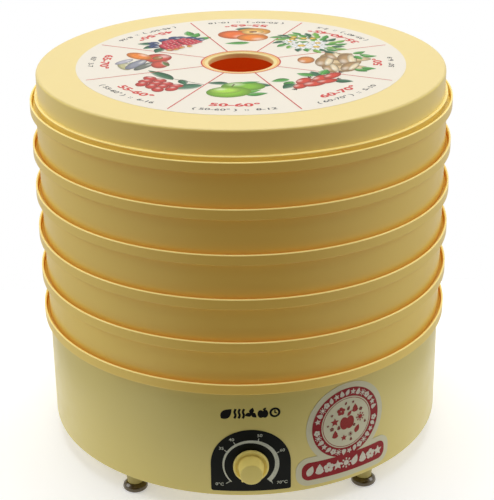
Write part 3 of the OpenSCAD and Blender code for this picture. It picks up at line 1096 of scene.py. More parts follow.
@dataclass
class Studio:
    """Camera, floor and lights."""

    camera_at: Point3 = (-0.0299, -1.2823, 0.751)
    look_at: Point3 = (0.00366, -0.0001, 0.177)
    roll: float = -0.66
    lens: float = 103.71
    floor_size: float = 0.58

    def build(self) -> None:
        """Makes the camera first, then the floor and the lights."""
        self.camera()
        self.floor()
        self.backdrop()
        self.lights()
        bpy.context.scene.view_settings.view_transform = "Standard"

    def camera(self) -> None:
        """Makes the camera."""
        data = bpy.data.cameras.new("camera")
        data.lens = self.lens
        data.sensor_width = 36.0
        data.clip_end = 100.0
        camera = bpy.data.objects.new("camera", data)
        bpy.context.scene.collection.objects.link(camera)
        sight = Vector(self.look_at) - Vector(self.camera_at)
        aim = sight.to_track_quat("-Z", "Y").to_matrix().to_4x4()
        lean = Matrix.Rotation(radians(self.roll), 4, "Z")
        camera.matrix_world = Matrix.Translation(self.camera_at) @ aim @ lean
        bpy.context.scene.camera = camera

    def floor(self) -> None:
        """Makes a plain pale floor."""
        half = self.floor_size / 2
        mesh = bpy.data.meshes.new("floor")
        corners = [(-half, -half, 0), (half, -half, 0), (half, half, 0), (-half, half, 0)]
        mesh.from_pydata(corners, [], [(0, 1, 2, 3)])
        board = NodeBoard("floor_paper")
        board.link(board.blend(board.noise(3.0), (0.86, 0.86, 0.86), (0.88, 0.88, 0.88)),
                   board.shader.inputs["Base Color"])
        board.set(Roughness=0.95, Specular_IOR_Level=0.0)
        board.set(Emission_Color=(1.0, 1.0, 1.0), Emission_Strength=0.41)
        mesh.materials.append(board.material)
        new_object("floor", mesh)

    def backdrop(self) -> None:
        """Makes a white surround that lights the sides and the back more than the front."""
        world = bpy.data.worlds.new("studio")
        bpy.context.scene.world = world
        world.use_nodes = True
        tree = world.node_tree
        tree.nodes.clear()
        make, link = tree.nodes.new, tree.links.new
        where = make("ShaderNodeTexCoord")
        parts = make("ShaderNodeSeparateXYZ")
        link(where.outputs["Generated"], parts.inputs[0])
        side = make("ShaderNodeMath")
        side.operation = "ABSOLUTE"
        link(parts.outputs["X"], side.inputs[0])

        def rise(source: bpy.types.NodeSocket, start: float, end: float, low: float, high: float) -> bpy.types.Node:
            """Adds a level that rises from low to high as the source goes from start to end.

            Args:
                source: The value that it follows.
                start: Value that gives low.
                end: Value that gives high.
                low: Lowest level.
                high: Highest level.

            Returns:
                The node.
            """
            node = make("ShaderNodeMapRange")
            for key, value in (("From Min", start), ("From Max", end), ("To Min", low), ("To Max", high)):
                node.inputs[key].default_value = value
            link(source, node.inputs["Value"])
            return node
        ramp = rise(side.outputs[0], 0.35, 0.95, 0.01, 1.0)
        rear = rise(parts.outputs["Y"], 0.0, 0.7, 0.0, 0.8)
        level = make("ShaderNodeMath")
        level.operation = "MAXIMUM"
        link(ramp.outputs[0], level.inputs[0])
        link(rear.outputs[0], level.inputs[1])
        surround = make("ShaderNodeBackground")
        link(level.outputs[0], surround.inputs["Strength"])
        white = make("ShaderNodeBackground")
        white.inputs["Strength"].default_value = 1.0
        white.inputs["Color"].default_value = (1, 1, 1, 1)
        sight = make("ShaderNodeLightPath")
        mix = make("ShaderNodeMixShader")
        out = make("ShaderNodeOutputWorld")
        link(sight.outputs["Is Camera Ray"], mix.inputs["Fac"])
        link(surround.outputs[0], mix.inputs[1])
        link(white.outputs[0], mix.inputs[2])
        link(mix.outputs[0], out.inputs["Surface"])

    def lights(self) -> None:
        """Makes a soft top light, a soft light on each side and a small one in front."""
        for name, place, target, size, power in (
                ("top_light", (0.0, 0.35, 2.0), (0.0, 0.0, 0.3), 1.6, 19.0),
                ("left_light", (-1.7, 0.1, 1.5), (0.0, 0.0, 0.2), 0.9, 7.0),
                ("right_light", (1.7, 0.1, 1.5), (0.0, 0.0, 0.2), 0.9, 7.0),
                ("front_light", (0.0, -1.0, 2.3), (0.0, 0.0, 0.2), 0.5, 3.7)):
            data = bpy.data.lights.new(name, "AREA")
            data.size = size
            data.energy = power
            light = bpy.data.objects.new(name, data)
            bpy.context.scene.collection.objects.link(light)
            sight = Vector(target) - Vector(place)
            aim = sight.to_track_quat("-Z", "Y").to_matrix().to_4x4()
            light.matrix_world = Matrix.Translation(place) @ aim


# ---------------------------------------------------------------- the machine


@dataclass
class Moulding:
    """The sizes that the rims, trays, lid and base share, in millimetres."""

    rim_height: float = 10.0
    wall: float = 1.8
    step_in: float = 5.0
    ledge_drop: float = 8.0
    bead_height: float = 2.5
    rim_r: float = field(init=False)

    def __post_init__(self) -> None:
        """Takes the outer radius from the frame."""
        self.rim_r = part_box("tray_1")[1][0] / MM

    @property
    def wall_r(self) -> float:
        """Outer radius of the walls."""
        return self.rim_r - self.step_in

    @property
    def rim_in(self) -> float:
        """Inner radius of the rims."""
        return self.rim_r - self.wall

    @property
    def bead_r(self) -> float:
        """Outer radius of the locating beads."""
        return self.rim_in - 0.6

    def rim_corners(self, top: float, inner: float) -> list[Corner]:
        """Corners of a rim from the wall below it to the ledge inside it.

        Args:
            top: Height of the rim's top.
            inner: Radius at which the ledge ends.

        Returns:
            The corners, each with its radius.
        """
        return [(self.wall_r, top - self.rim_height, 0.8), (self.rim_r, top - self.rim_height, 0.9),
                (self.rim_r, top, 0.85), (self.rim_in, top, 0.85), (self.rim_in, top - self.ledge_drop, 0.5),
                (inner, top - self.ledge_drop, 0.5)]

    def dress(self, piece: bpy.types.Object, top: float, outside: Look, inside: Look,
              band: Look = Look.TRAY) -> None:
        """Gives a ring's faces their finishes: the rim's top edge gets a painted highlight and the rim's inner face
        and ledge a painted glow, so that they look brighter than the walls.

        Args:
            piece: The ring.
            top: Height of its rim's top.
            outside: Finish of its outside.
            inside: Finish of its inner wall.
            band: Finish of its rim's band.
        """
        for look in (outside, inside, Look.RIM_GAP_GLOW, Look.RIM_EDGE_HIGHLIGHT, band):
            piece.data.materials.append(material(look))
        # painted light: the top edge gets the painted highlight and the rim's inner face and ledge the painted glow
        for face in piece.data.polygons:
            place = face.center / MM
            reach = place.xy.length
            if place.z > top - 0.95:
                face.material_index = 3
            elif reach > self.wall_r + 0.3:
                face.material_index = 4
            elif reach < self.wall_r - 0.7 and face.normal.xy.dot(place.xy) < -0.5 * reach:
                face.material_index = 1
            elif reach < self.rim_in + 0.3 and place.z > top - self.ledge_drop - 0.6:
                face.material_index = 2


@dataclass
class Tray:
    """One tray: a ring with its rim and ledge, and an open floor."""

    number: int
    moulding: Moulding
    floor_tree: bpy.types.GeometryNodeTree
    rings: int = 18
    spokes: int = 48
    hub_r: float = 14.0

    def build(self) -> None:
        """Makes the ring and the floor."""
        self.ring()
        self.floor()

    def ring(self) -> None:
        """Makes the ring, with its inside a deeper orange copy of the plastic with a painted glow."""
        m = self.moulding
        node = f"tray_{self.number}"
        low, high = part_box(node)
        bottom, top = low[2] / MM, high[2] / MM
        inner = m.wall_r - m.wall
        corners = [(inner, bottom, 0.4), (m.bead_r, bottom, 0.5), (m.bead_r, bottom + m.bead_height, 0.5),
                   (m.wall_r, bottom + m.bead_height + 1, 0.6)] + m.rim_corners(top, inner)
        piece = lathe(f"{node}_ring", fillet(corners))
        m.dress(piece, top, Look.TRAY, Look.TRAY_INSIDE_GLOW)
        finish_piece(piece, Look.TRAY, node, [node])

    def floor(self) -> None:
        """Makes the open floor of rings and spokes."""
        node = f"tray_{self.number}"
        low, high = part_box(f"{node}_grid")
        piece = new_object(f"{node}_floor", bpy.data.meshes.new(f"{node}_floor"))
        RepeatTree.bake(piece, self.floor_tree, {
            "Rings": self.rings, "Spokes": self.spokes, "Hub Radius": self.hub_r * MM,
            "Radius": float(high[0]), "Thickness": float(high[2] - low[2]),
            "Height": float(low[2] + high[2]) / 2})
        # the floor is a deeper orange copy of the plastic with a painted glow
        finish_piece(piece, Look.TRAY_FLOOR_GLOW, node, [f"{node}_grid"])


@dataclass
class Lid:
    """The lid, with its vent and its lip above the top tray."""

    moulding: Moulding
    skirt_r: float = 188.0
    vent_r: float = 30.0
    collar: float = 2.0
    collar_depth: float = 5.0
    plate: float = 2.5
    edge_r: float = 2.4
    lip: float = 2.5

    def build(self) -> None:
        """Makes the lid."""
        m = self.moulding
        low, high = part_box("lid")
        bottom, top = low[2] / MM, high[2] / MM
        rim_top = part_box("tray_1")[1][2] / MM
        lip_z = rim_top + 2
        under = top - self.plate
        skirt_in = self.skirt_r - m.wall
        corners = [(self.vent_r, top - self.collar_depth, 0.6),
                   (self.vent_r + self.collar, top - self.collar_depth, 0.6),
                   (self.vent_r + self.collar, under, 0.8), (skirt_in, under, 1.5), (skirt_in, bottom, 0.4),
                   (m.bead_r, bottom, 0.4), (m.bead_r, bottom + m.bead_height, 0.4),
                   (self.skirt_r, bottom + m.bead_height + 1, 0.4), (self.skirt_r, lip_z, 0.3),
                   (self.skirt_r + self.lip, lip_z, 0.5), (self.skirt_r + self.lip, lip_z + 1.5, 0.6),
                   (self.skirt_r, lip_z + 1.5, 0.4), (self.skirt_r, top, self.edge_r), (self.vent_r, top, 1.2)]
        piece = lathe("lid_shell", fillet(corners, 6))
        piece.data.materials.append(material(Look.LID))
        piece.data.materials.append(material(Look.RIM_EDGE_HIGHLIGHT))
        piece.data.materials.append(material(Look.RIM_GAP_GLOW))
        piece.data.materials.append(material(Look.LID_SIDE_GLOW))
        # painted light: the lip's top gets the rims' painted highlight, the skirt below the lip the rim gap's painted
        # glow, and the skirt above it the side copy with its stronger painted glow
        for face in piece.data.polygons:
            place = face.center / MM
            outward = face.normal.xy.dot(place.xy) > 0
            if place.xy.length > self.skirt_r + 0.4 and place.z > lip_z + 0.6:
                face.material_index = 1
            elif outward and place.xy.length > self.skirt_r - 0.6:
                face.material_index = 2 if place.z < lip_z else 3
        finish_piece(piece, Look.LID, "lid", ["lid"])


class Ornament(Enum):
    """Plain shapes that decorate the badge."""

    LEAF = "leaf"
    STAR = "star"
    DROP = "drop"
    SUN = "sun"
    FLOWER = "flower"

    def draw(self, art: Sheet, x: float, y: float, size: float, tilt: float, tint: Colour) -> None:
        """Prints the shape.

        Args:
            art: The sheet that it is printed on.
            x: Its middle, across.
            y: Its middle, up.
            size: Its reach from the middle.
            tilt: How far it leans clockwise, in degrees.
            tint: Its colour.
        """
        def polar(angle: float, reach: float) -> Point2:
            """A point at an angle clockwise from the shape's own top."""
            a = radians(angle + tilt)
            return x + size * reach * sin(a), y + size * reach * cos(a)
        ground = art.level
        art.level += 0.03
        if self is Ornament.LEAF:
            start = polar(205, 1.0)
            art.leaf(*start, 2.05 * size, 1.25 * size, 65 - tilt, tint, vein=False)
        elif self is Ornament.STAR:
            art.fan([polar(36 * k, 1.0 if k % 2 == 0 else 0.48) for k in range(10)], tint)
        elif self is Ornament.DROP:
            round_end = [polar(a, 0.62 + 0.3 * (100 < a < 260)) for a in range(60, 301, 20)]
            art.fan([polar(0, 1.1)] + round_end, tint)
        elif self is Ornament.SUN:
            art.blob(x, y, 1.0 * size, 1.0 * size, tint, sides=16)
            for k in range(8):
                art.bar(*polar(45 * k, 0.62), *polar(45 * k, 1.0), 0.26 * size, tint)
        else:
            for k in range(5):
                art.blob(*polar(72 * k, 0.55), 0.85 * size, 0.85 * size, tint, sides=12)
        art.level = ground


class Tint:
    """Printed colours, and the colour of a painted glow ring round the vent."""

    RED = srgb(214, 54, 46)
    LINE = srgb(206, 56, 40)
    # painted glow: a pale orange ring round the vent, inside the red ring
    GLOW = srgb(244, 196, 120)
    BLACK = srgb(40, 38, 38)
    LEAF = srgb(70, 150, 50)
    DARK_LEAF = srgb(40, 100, 62)
    APPLE = srgb(140, 196, 36)
    APPLE_FLESH = srgb(176, 222, 72)
    ROSEHIP = srgb(214, 66, 36)
    ORANGE = srgb(244, 140, 36)
    APRICOT = srgb(246, 172, 60)
    RASPBERRY = srgb(214, 52, 70)
    BLUEBERRY = srgb(58, 78, 120)
    CORNEL = srgb(206, 62, 48)
    MUSHROOM = srgb(222, 196, 148)
    MUSHROOM_CAP = srgb(184, 146, 94)
    FISH = srgb(150, 152, 164)
    PETAL = srgb(240, 240, 236)
    POLLEN = srgb(236, 196, 60)


@dataclass
class LidLabel:
    """The printed round label: sector lines, pictures of food and lines of numbers."""

    offset: float = -3.8
    sectors: int = 8
    inner_r: float = 36.7
    line_end: float = 147.0
    picture_r: float = 90.0
    figure_r: float = 126.0
    small_r: float = 138.5
    line_w: float = 1.2

    def build(self) -> None:
        """Makes the label's print."""
        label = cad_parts["lid_label"]
        label.data.materials.clear()
        label.data.materials.append(material(Look.LABEL))
        self.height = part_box("lid_label")[1][2] / MM
        self.lines()
        pictures = (self.apples, self.rosehips, self.mushrooms, self.herbs, self.apricots, self.berries,
                    self.vegetables, self.cornels)
        figures = (("50-60°", "( 50-60° )  ::  8-12"), ("60-70°", "( 60-70° )  ::  5-10"), ("50°", "50°  6-9"),
                   ("35-40-45°", "( 35-40° )  ::  2-5"), ("55-65°", "( 50-60° )  ::  10-18"),
                   ("45-50°", "( 45-50° )  ::  8-26"), ("65-70°", "65°  3-7"), ("55-60°", "( 55-60° )  ::  6-16"))
        for k, (picture, (bold, small)) in enumerate(zip(pictures, figures)):
            angle = 360 * k / self.sectors + self.offset
            art = Sheet(f"label_{picture.__name__}", LidSurface(self.height, angle, self.picture_r))
            picture(art)
            art.build(Look.INK, "lid", "label_print")
            self.figures(k, angle, bold, small)

    def lines(self) -> None:
        """Prints the red ring round the vent, with a painted glow ring inside it, and the lines between the sectors.
        """
        flat = LidSurface(self.height, 0.0, 0.0)
        art = Sheet("label_lines", flat)
        # painted glow ring inside the red ring
        art.band(0, 0, self.inner_r - 3.2, self.inner_r - 0.6, 0, 360, Tint.GLOW, sides=144)
        art.band(0, 0, self.inner_r - 1.0, self.inner_r + 0.3, 0, 360, Tint.LINE, sides=144)
        for k in range(self.sectors):
            a = radians(360 * (k + 0.5) / self.sectors + self.offset)
            art.bar(self.inner_r * sin(a), -self.inner_r * cos(a),
                    self.line_end * sin(a), -self.line_end * cos(a), self.line_w, Tint.LINE)
        art.build(Look.INK, "lid", "label_print")

    def figures(self, k: int, angle: float, bold: str, small: str) -> None:
        """Prints one sector's temperature and hours.

        Args:
            k: The sector's number.
            angle: The sector's angle in degrees.
            bold: The temperature.
            small: The fine line under it.
        """
        art = Sheet(f"label_figures_{k + 1}", LidArc(self.height, angle, self.figure_r))
        art.letters(bold, 0, 0, 7.6, Tint.RED, 0.035, 1.5)
        art.build(Look.INK, "lid", "label_print")
        fine = Sheet(f"label_hours_{k + 1}", LidArc(self.height, angle, self.small_r))
        fine.letters(small, 0, 0, 4.8, Tint.BLACK, 0.015, 1.45)
        fine.build(Look.INK, "lid", "label_print")

    def apples(self, art: Sheet) -> None:
        """Green apples with leaves.

        Args:
            art: The sheet that it is printed on.
        """
        art.leaf(-8, 24, 20, 9, 170, Tint.DARK_LEAF, 2)
        art.leaf(10, 20, 20, 13, 6, Tint.DARK_LEAF, -3)
        art.leaf(8, -8, 20, 10, 10, Tint.LEAF, 2)
        art.leaf(2, -4, 22, 8, 24, srgb(96, 168, 50), 2)
        art.blob(5, 16, 38, 26, srgb(132, 190, 40), 0, 0.03, 2)
        art.leaf(2, 26, 18, 6, 8, Tint.LEAF, 1)
        art.blob(-7, 0, 38, 32, Tint.APPLE, 8, 0.04, 2)
        art.blob(-10, 4, 26, 18, Tint.APPLE_FLESH, 8, 0.05, 2)
        art.bar(-5, 15, -3, 22, 1.4, srgb(96, 72, 30))

    def rosehips(self, art: Sheet) -> None:
        """Rosehips with leaves.

        Args:
            art: The sheet that it is printed on.
        """
        for x, y, turn in ((-8, 14, 200), (-12, 8, 185), (-6, 20, 150), (18, 8, 60), (24, 10, 20), (16, 12, 100),
                           (20, -10, -60)):
            art.leaf(x, y, 17, 11, turn, Tint.LEAF if y > 9 else Tint.DARK_LEAF, 2)
        for x, y, w, h, turn in ((-12, 0, 18, 12, 200), (0, 8, 20, 13, 20), (2, -4, 24, 15, -6), (16, 3, 22, 13, 14),
                                 (14, -7, 20, 12, -12), (29, 1, 22, 12, 10)):
            art.blob(x, y, w, h, Tint.ROSEHIP, turn, 0.02, 2)
            a = radians(turn)
            for spread in (-30, 0, 30):
                art.leaf(x + w / 2 * cos(a), y + w / 2 * sin(a), 5, 1.8, turn + spread, srgb(80, 52, 30), vein=False)

    def mushrooms(self, art: Sheet) -> None:
        """Mushrooms and herbs.

        Args:
            art: The sheet that it is printed on.
        """
        for x, y, w, h in ((-16, -4, 30, 26), (2, -8, 34, 26), (16, 2, 26, 30), (0, 8, 36, 24)):
            art.blob(x, y, w, h, srgb(202, 166, 108))
        for x, y, size, turn in ((-18, 8, 1.2, 10), (2, 13, 1.35, -8), (20, 4, 1.2, 18), (8, -8, 1.45, 4),
                                 (-14, -10, 1.2, -20)):
            a = radians(turn)
            art.blob(x + 7 * size * sin(a), y - 7 * size * cos(a), 9 * size, 17 * size, Tint.MUSHROOM, turn)
            art.blob(x, y, 25 * size, 13 * size, Tint.MUSHROOM_CAP, turn, 0.03, 2)
            art.blob(x, y - 3 * size, 21 * size, 5.5 * size, srgb(238, 220, 182), turn)
        art.blob(6, 30, 22, 16, srgb(226, 140, 60), 0)
        for x, y, turn in ((20, -16, 200), (24, -20, 240), (18, -22, 270), (-22, -14, 230), (-26, -16, 280),
                           (-18, -20, 250), (26, -14, 300)):
            art.leaf(x, y, 14, 8, turn, Tint.LEAF, 1)

    def herbs(self, art: Sheet) -> None:
        """Herbs and daisies.

        Args:
            art: The sheet that it is printed on.
        """
        for k in range(46):
            a = 137.5 * k
            r = 4.4 * k ** 0.5
            art.leaf(1.15 * r * cos(radians(a)), 0.72 * r * sin(radians(a)), 13, 7, a + 25,
                     (Tint.LEAF, Tint.DARK_LEAF, srgb(120, 178, 62))[k % 3], 1, False)
        for x, y, size in ((-2, 13, 1.7), (-15, 6, 1.5), (-7, -4, 1.3), (15, 12, 1.0)):
            for k in range(10):
                art.leaf(x, y, 7.6 * size, 3.6 * size, 36 * k, Tint.PETAL, vein=False)
            art.blob(x, y, 4.6 * size, 4.6 * size, Tint.POLLEN)
        for x, y in ((14, -6), (24, -2), (20, 4), (8, -12)):
            art.blob(x, y, 6.5, 6.5, srgb(236, 190, 50))

    def apricots(self, art: Sheet) -> None:
        """Apricots and orange halves with leaves.

        Args:
            art: The sheet that it is printed on.
        """
        art.leaf(10, -22, 20, 10, 185, Tint.DARK_LEAF, 2)
        art.leaf(-6, 26, 24, 10, 12, Tint.LEAF, -2)
        art.blob(-8, -12, 34, 28, Tint.APRICOT, 10, 0.03, 2)
        art.blob(10, -2, 32, 30, srgb(240, 116, 40), -12, 0.02, 2)
        art.blob(-8, 8, 30, 26, Tint.ORANGE, 5, 0.03, 2)
        art.blob(-8, -12, 22, 17, srgb(250, 200, 110), 10)
        art.blob(-8, -12, 8, 6, srgb(146, 84, 40), 10)

    def berries(self, art: Sheet) -> None:
        """Raspberries, blackberries and leaves.

        Args:
            art: The sheet that it is printed on.
        """
        for x, y, turn in ((-22, -4, 200), (-20, 4, 160), (-24, -10, 230), (20, -6, -10), (22, 4, 20),
                           (18, -12, -50)):
            art.leaf(x, y, 17, 10, turn, Tint.LEAF if x < 0 else Tint.DARK_LEAF, 2)
        for x, y, size in ((-18, -2, 14), (-22, 6, 12), (-12, -10, 13), (-8, -14, 12), (4, -15, 12), (24, -6, 12),
                           (18, -14, 11)):
            art.blob(x, y, size, size, Tint.BLUEBERRY)
            art.blob(x + 1, y + 1, size * 0.25, size * 0.25, srgb(26, 30, 56))
        for cx, cy, wide in ((3, -1, 5), (-10, 4, 4), (14, 6, 4)):
            art.blob(cx, cy, 5 * wide, 24, srgb(170, 34, 52))
            for row in range(5):
                for k in range(wide - row // 2):
                    x = cx + (k - (wide - 1 - row // 2) / 2) * 4.6
                    art.blob(x, cy + 9 - row * 4.6, 6.0, 6.0, Tint.RASPBERRY)
        for x, y in ((8, 16), (16, 17), (0, 18), (22, 14)):
            art.blob(x, y, 6, 5, srgb(232, 160, 60))

    def vegetables(self, art: Sheet) -> None:
        """Carrot, tomato, greens and dried fish.

        Args:
            art: The sheet that it is printed on.
        """
        for k in range(5):
            art.leaf(20, -14 + 3 * k, 20, 5, 150 + 16 * k, srgb(120, 138, 70), 2)
        art.blob(14, -16, 26, 12, srgb(196, 190, 140), 20)
        art.blob(8, -6, 34, 13, Tint.FISH, -24, 0.03, 2)
        art.blob(14, 2, 30, 10, srgb(120, 124, 112), -30)
        art.blob(0, -18, 22, 9, srgb(188, 186, 196), -40)
        art.blob(-12, 12, 28, 26, srgb(222, 76, 50), 0, 0.03, 3)
        art.blob(-12, 12, 12, 10, srgb(168, 120, 60), 0)
        art.blob(8, 16, 24, 17, srgb(210, 84, 60), 0, 0.03, 2)
        art.leaf(14, 24, 16, 6, 200, srgb(96, 112, 50), 1)
        art.blob(-18, -6, 30, 17, Tint.ORANGE, 48)
        for k in range(3):
            art.bar(-24 + 5 * k, -8 + 4 * k, -19 + 5 * k, -11 + 4 * k, 0.6, srgb(214, 100, 24))

    def cornels(self, art: Sheet) -> None:
        """Cornel berries and long dark leaves.

        Args:
            art: The sheet that it is printed on.
        """
        art.leaf(-2, 10, 38, 12, 172, Tint.DARK_LEAF, 3)
        art.leaf(2, 15, 16, 9, -20, Tint.DARK_LEAF, -1)
        art.leaf(28, 18, 30, 15, -118, srgb(66, 116, 84), 2)
        art.bar(-4, 12, 28, 20, 0.8, srgb(96, 72, 50))
        for k in range(11):
            x = -20 + 11 * (k % 4) + 4 * (k // 4)
            y = -2 - 8 * (k // 4) + 2 * (k % 2)
            art.blob(x, y, 14, 11, Tint.CORNEL, 15 * k)


@dataclass
class Base:
    """The powered base: its wall, rim, panel, pictograms and feet."""

    moulding: Moulding
    wall: float = 2.2
    seat: float = 9.0
    plate: float = 2.5
    panel_half: float = 36.0

    def build(self) -> None:
        """Makes the base's shell and what is on it."""
        self.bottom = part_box("base_housing")[0][2] / MM
        self.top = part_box("base_rim")[1][2] / MM
        self.surface_r = self.moulding.wall_r
        knob_low, knob_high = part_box("thermostat_nut")
        self.dial_z = (knob_low[2] + knob_high[2]) / 2 / MM
        self.shell()
        self.panel()
        self.pictograms()
        self.feet()

    def shell(self) -> None:
        """Makes the base's wall and rim."""
        m = self.moulding
        inner = m.wall_r - self.wall
        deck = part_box("deck_plate")[0][2] / MM
        seat_z = self.bottom + self.plate
        corners = [(inner, deck, 0), (inner - 4, deck, 0.3), (inner, deck - 4, 0), (inner, seat_z + 2, 0.4),
                   (inner - self.seat, seat_z + 2, 0.4), (inner - self.seat, seat_z, 0), (inner, seat_z, 0),
                   (inner, self.bottom, 0.3), (m.wall_r, self.bottom, 1.8)] + m.rim_corners(self.top, inner)
        piece = lathe("base_shell", fillet(corners, 6))
        # the rim's top edge gets the painted highlight, its band the tray plastic's painted glow and its inner face
        # the rim gap's painted glow
        m.dress(piece, self.top, Look.CREAM, Look.CREAM)
        finish_piece(piece, Look.CREAM, "base", ["base_housing", "base_rim"])

    def panel(self) -> None:
        """Makes the dark arch panel and prints its scale."""
        wall = WallSurface(self.surface_r)
        half, low = self.panel_half, self.bottom + 5
        corner = 2.0

        def top(x: float) -> float:
            """Upper edge of the arch."""
            return self.dial_z + max(0.0, half * half - x * x) ** 0.5

        def foot(x: float) -> float:
            """Lower edge, with a little corner rounding."""
            past = max(0.0, abs(x) - (half - corner))
            return low + corner - max(0.0, corner * corner - past * past) ** 0.5
        film = Sheet("panel_film", wall, 0.3, 0.0)
        film.strips(-half, half, foot, top, Look.PANEL.value.colour)
        film.build(Look.PANEL, "base", "panel_black", ["dial_panel"], depth=0.3)
        grey = srgb(206, 208, 190)
        scale = Sheet("panel_scale", wall, 0.34)
        scale.band(0, self.dial_z, 24.3, 25.4, -135, 137, grey, 21.0)
        for angle, mark in ((-57.2, "35"), (-32.8, "40"), (15.0, "50"), (64.6, "60")):
            a = radians(angle)
            scale.bar(25 * sin(a), self.dial_z + 25 * cos(a),
                      28 * sin(a), self.dial_z + 28 * cos(a), 0.7, grey)
            scale.letters(mark, 31.2 * sin(a), self.dial_z + 31.0 * cos(a), 2.9, grey, 0.01, 1.15)
        scale.letters("70°C", 28.0, self.dial_z - 20.2, 2.9, grey, 0.01, 1.15)
        scale.letters("0°C", -28.2, self.dial_z - 20.6, 2.9, grey, 0.01, 1.15)
        scale.bar(-22.5, self.dial_z - 19.6, -19.0, self.dial_z - 17.4, 0.7, grey)
        scale.fan([(14.6, self.dial_z - 15.4), (18.0, self.dial_z - 18.6),
                   (19.6, self.dial_z - 21.0), (18.6, self.dial_z - 17.2)], grey)
        scale.build(Look.PANEL_INK, "base", "panel_black")

    def pictograms(self) -> None:
        """Prints a row of plain black signs over the panel."""
        art = Sheet("base_pictograms", WallSurface(self.surface_r))
        middle = self.bottom + 85
        black = srgb(14, 13, 8)
        art.leaf(-26, middle - 5, 13.5, 8.5, 45, black, 0, False)
        for k in range(3):
            x = -13.5 + 3.7 * k
            for y0, y1, lean in ((-4.8, -1.5, 1), (-1.7, 1.7, -1), (1.5, 4.8, 1)):
                art.bar(x - 0.6 * lean, middle + y0, x + 0.6 * lean, middle + y1, 2.1, black)
        for k in range(3):
            art.leaf(0.8, middle, 5.9, 4.4, 120 * k + 90, black, -1.2, False)
        art.blob(0.8, middle, 2.2, 2.2, black)
        for side in (-1, 1):
            art.blob(11 + 1.9 * side, middle - 0.8, 5.6, 8.0, black, -6 * side)
        art.leaf(11.2, middle + 2.8, 3.8, 2.2, 45, black, vein=False)
        art.band(21.6, middle, 2.9, 4.9, 0, 360, black, sides=40)
        art.bar(21.6, middle - 0.4, 21.6, middle + 2.6, 1.1, black)
        art.bar(21.2, middle, 23.6, middle - 0.9, 1.1, black)
        art.build(Look.PANEL_INK, "base", "panel_black")

    def feet(self) -> None:
        """Makes the four feet: a domed cup under a conical boss."""
        for name in ("front_left", "front_right", "rear_left", "rear_right"):
            node = f"foot_{name}"
            low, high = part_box(node)
            radius = (high[0] - low[0]) / 2 / MM
            top = high[2] / MM
            place = Matrix.Translation(((low[0] + high[0]) / 2, (low[1] + high[1]) / 2, 0))
            corners = [(0, 0, 0), (radius - 1.2, 0, 0.8), (radius, 1.6, 2.0), (radius - 0.6, 4.6, 2.5),
                       (8.2, top, 1.5), (3.5, top, 0.2), (3.5, top - 4.1, 0), (0, top - 4.1, 0)]
            cup = lathe(f"{node}_cup", fillet(corners), 64, place)
            finish_piece(cup, Look.FOOT, "base", [node])


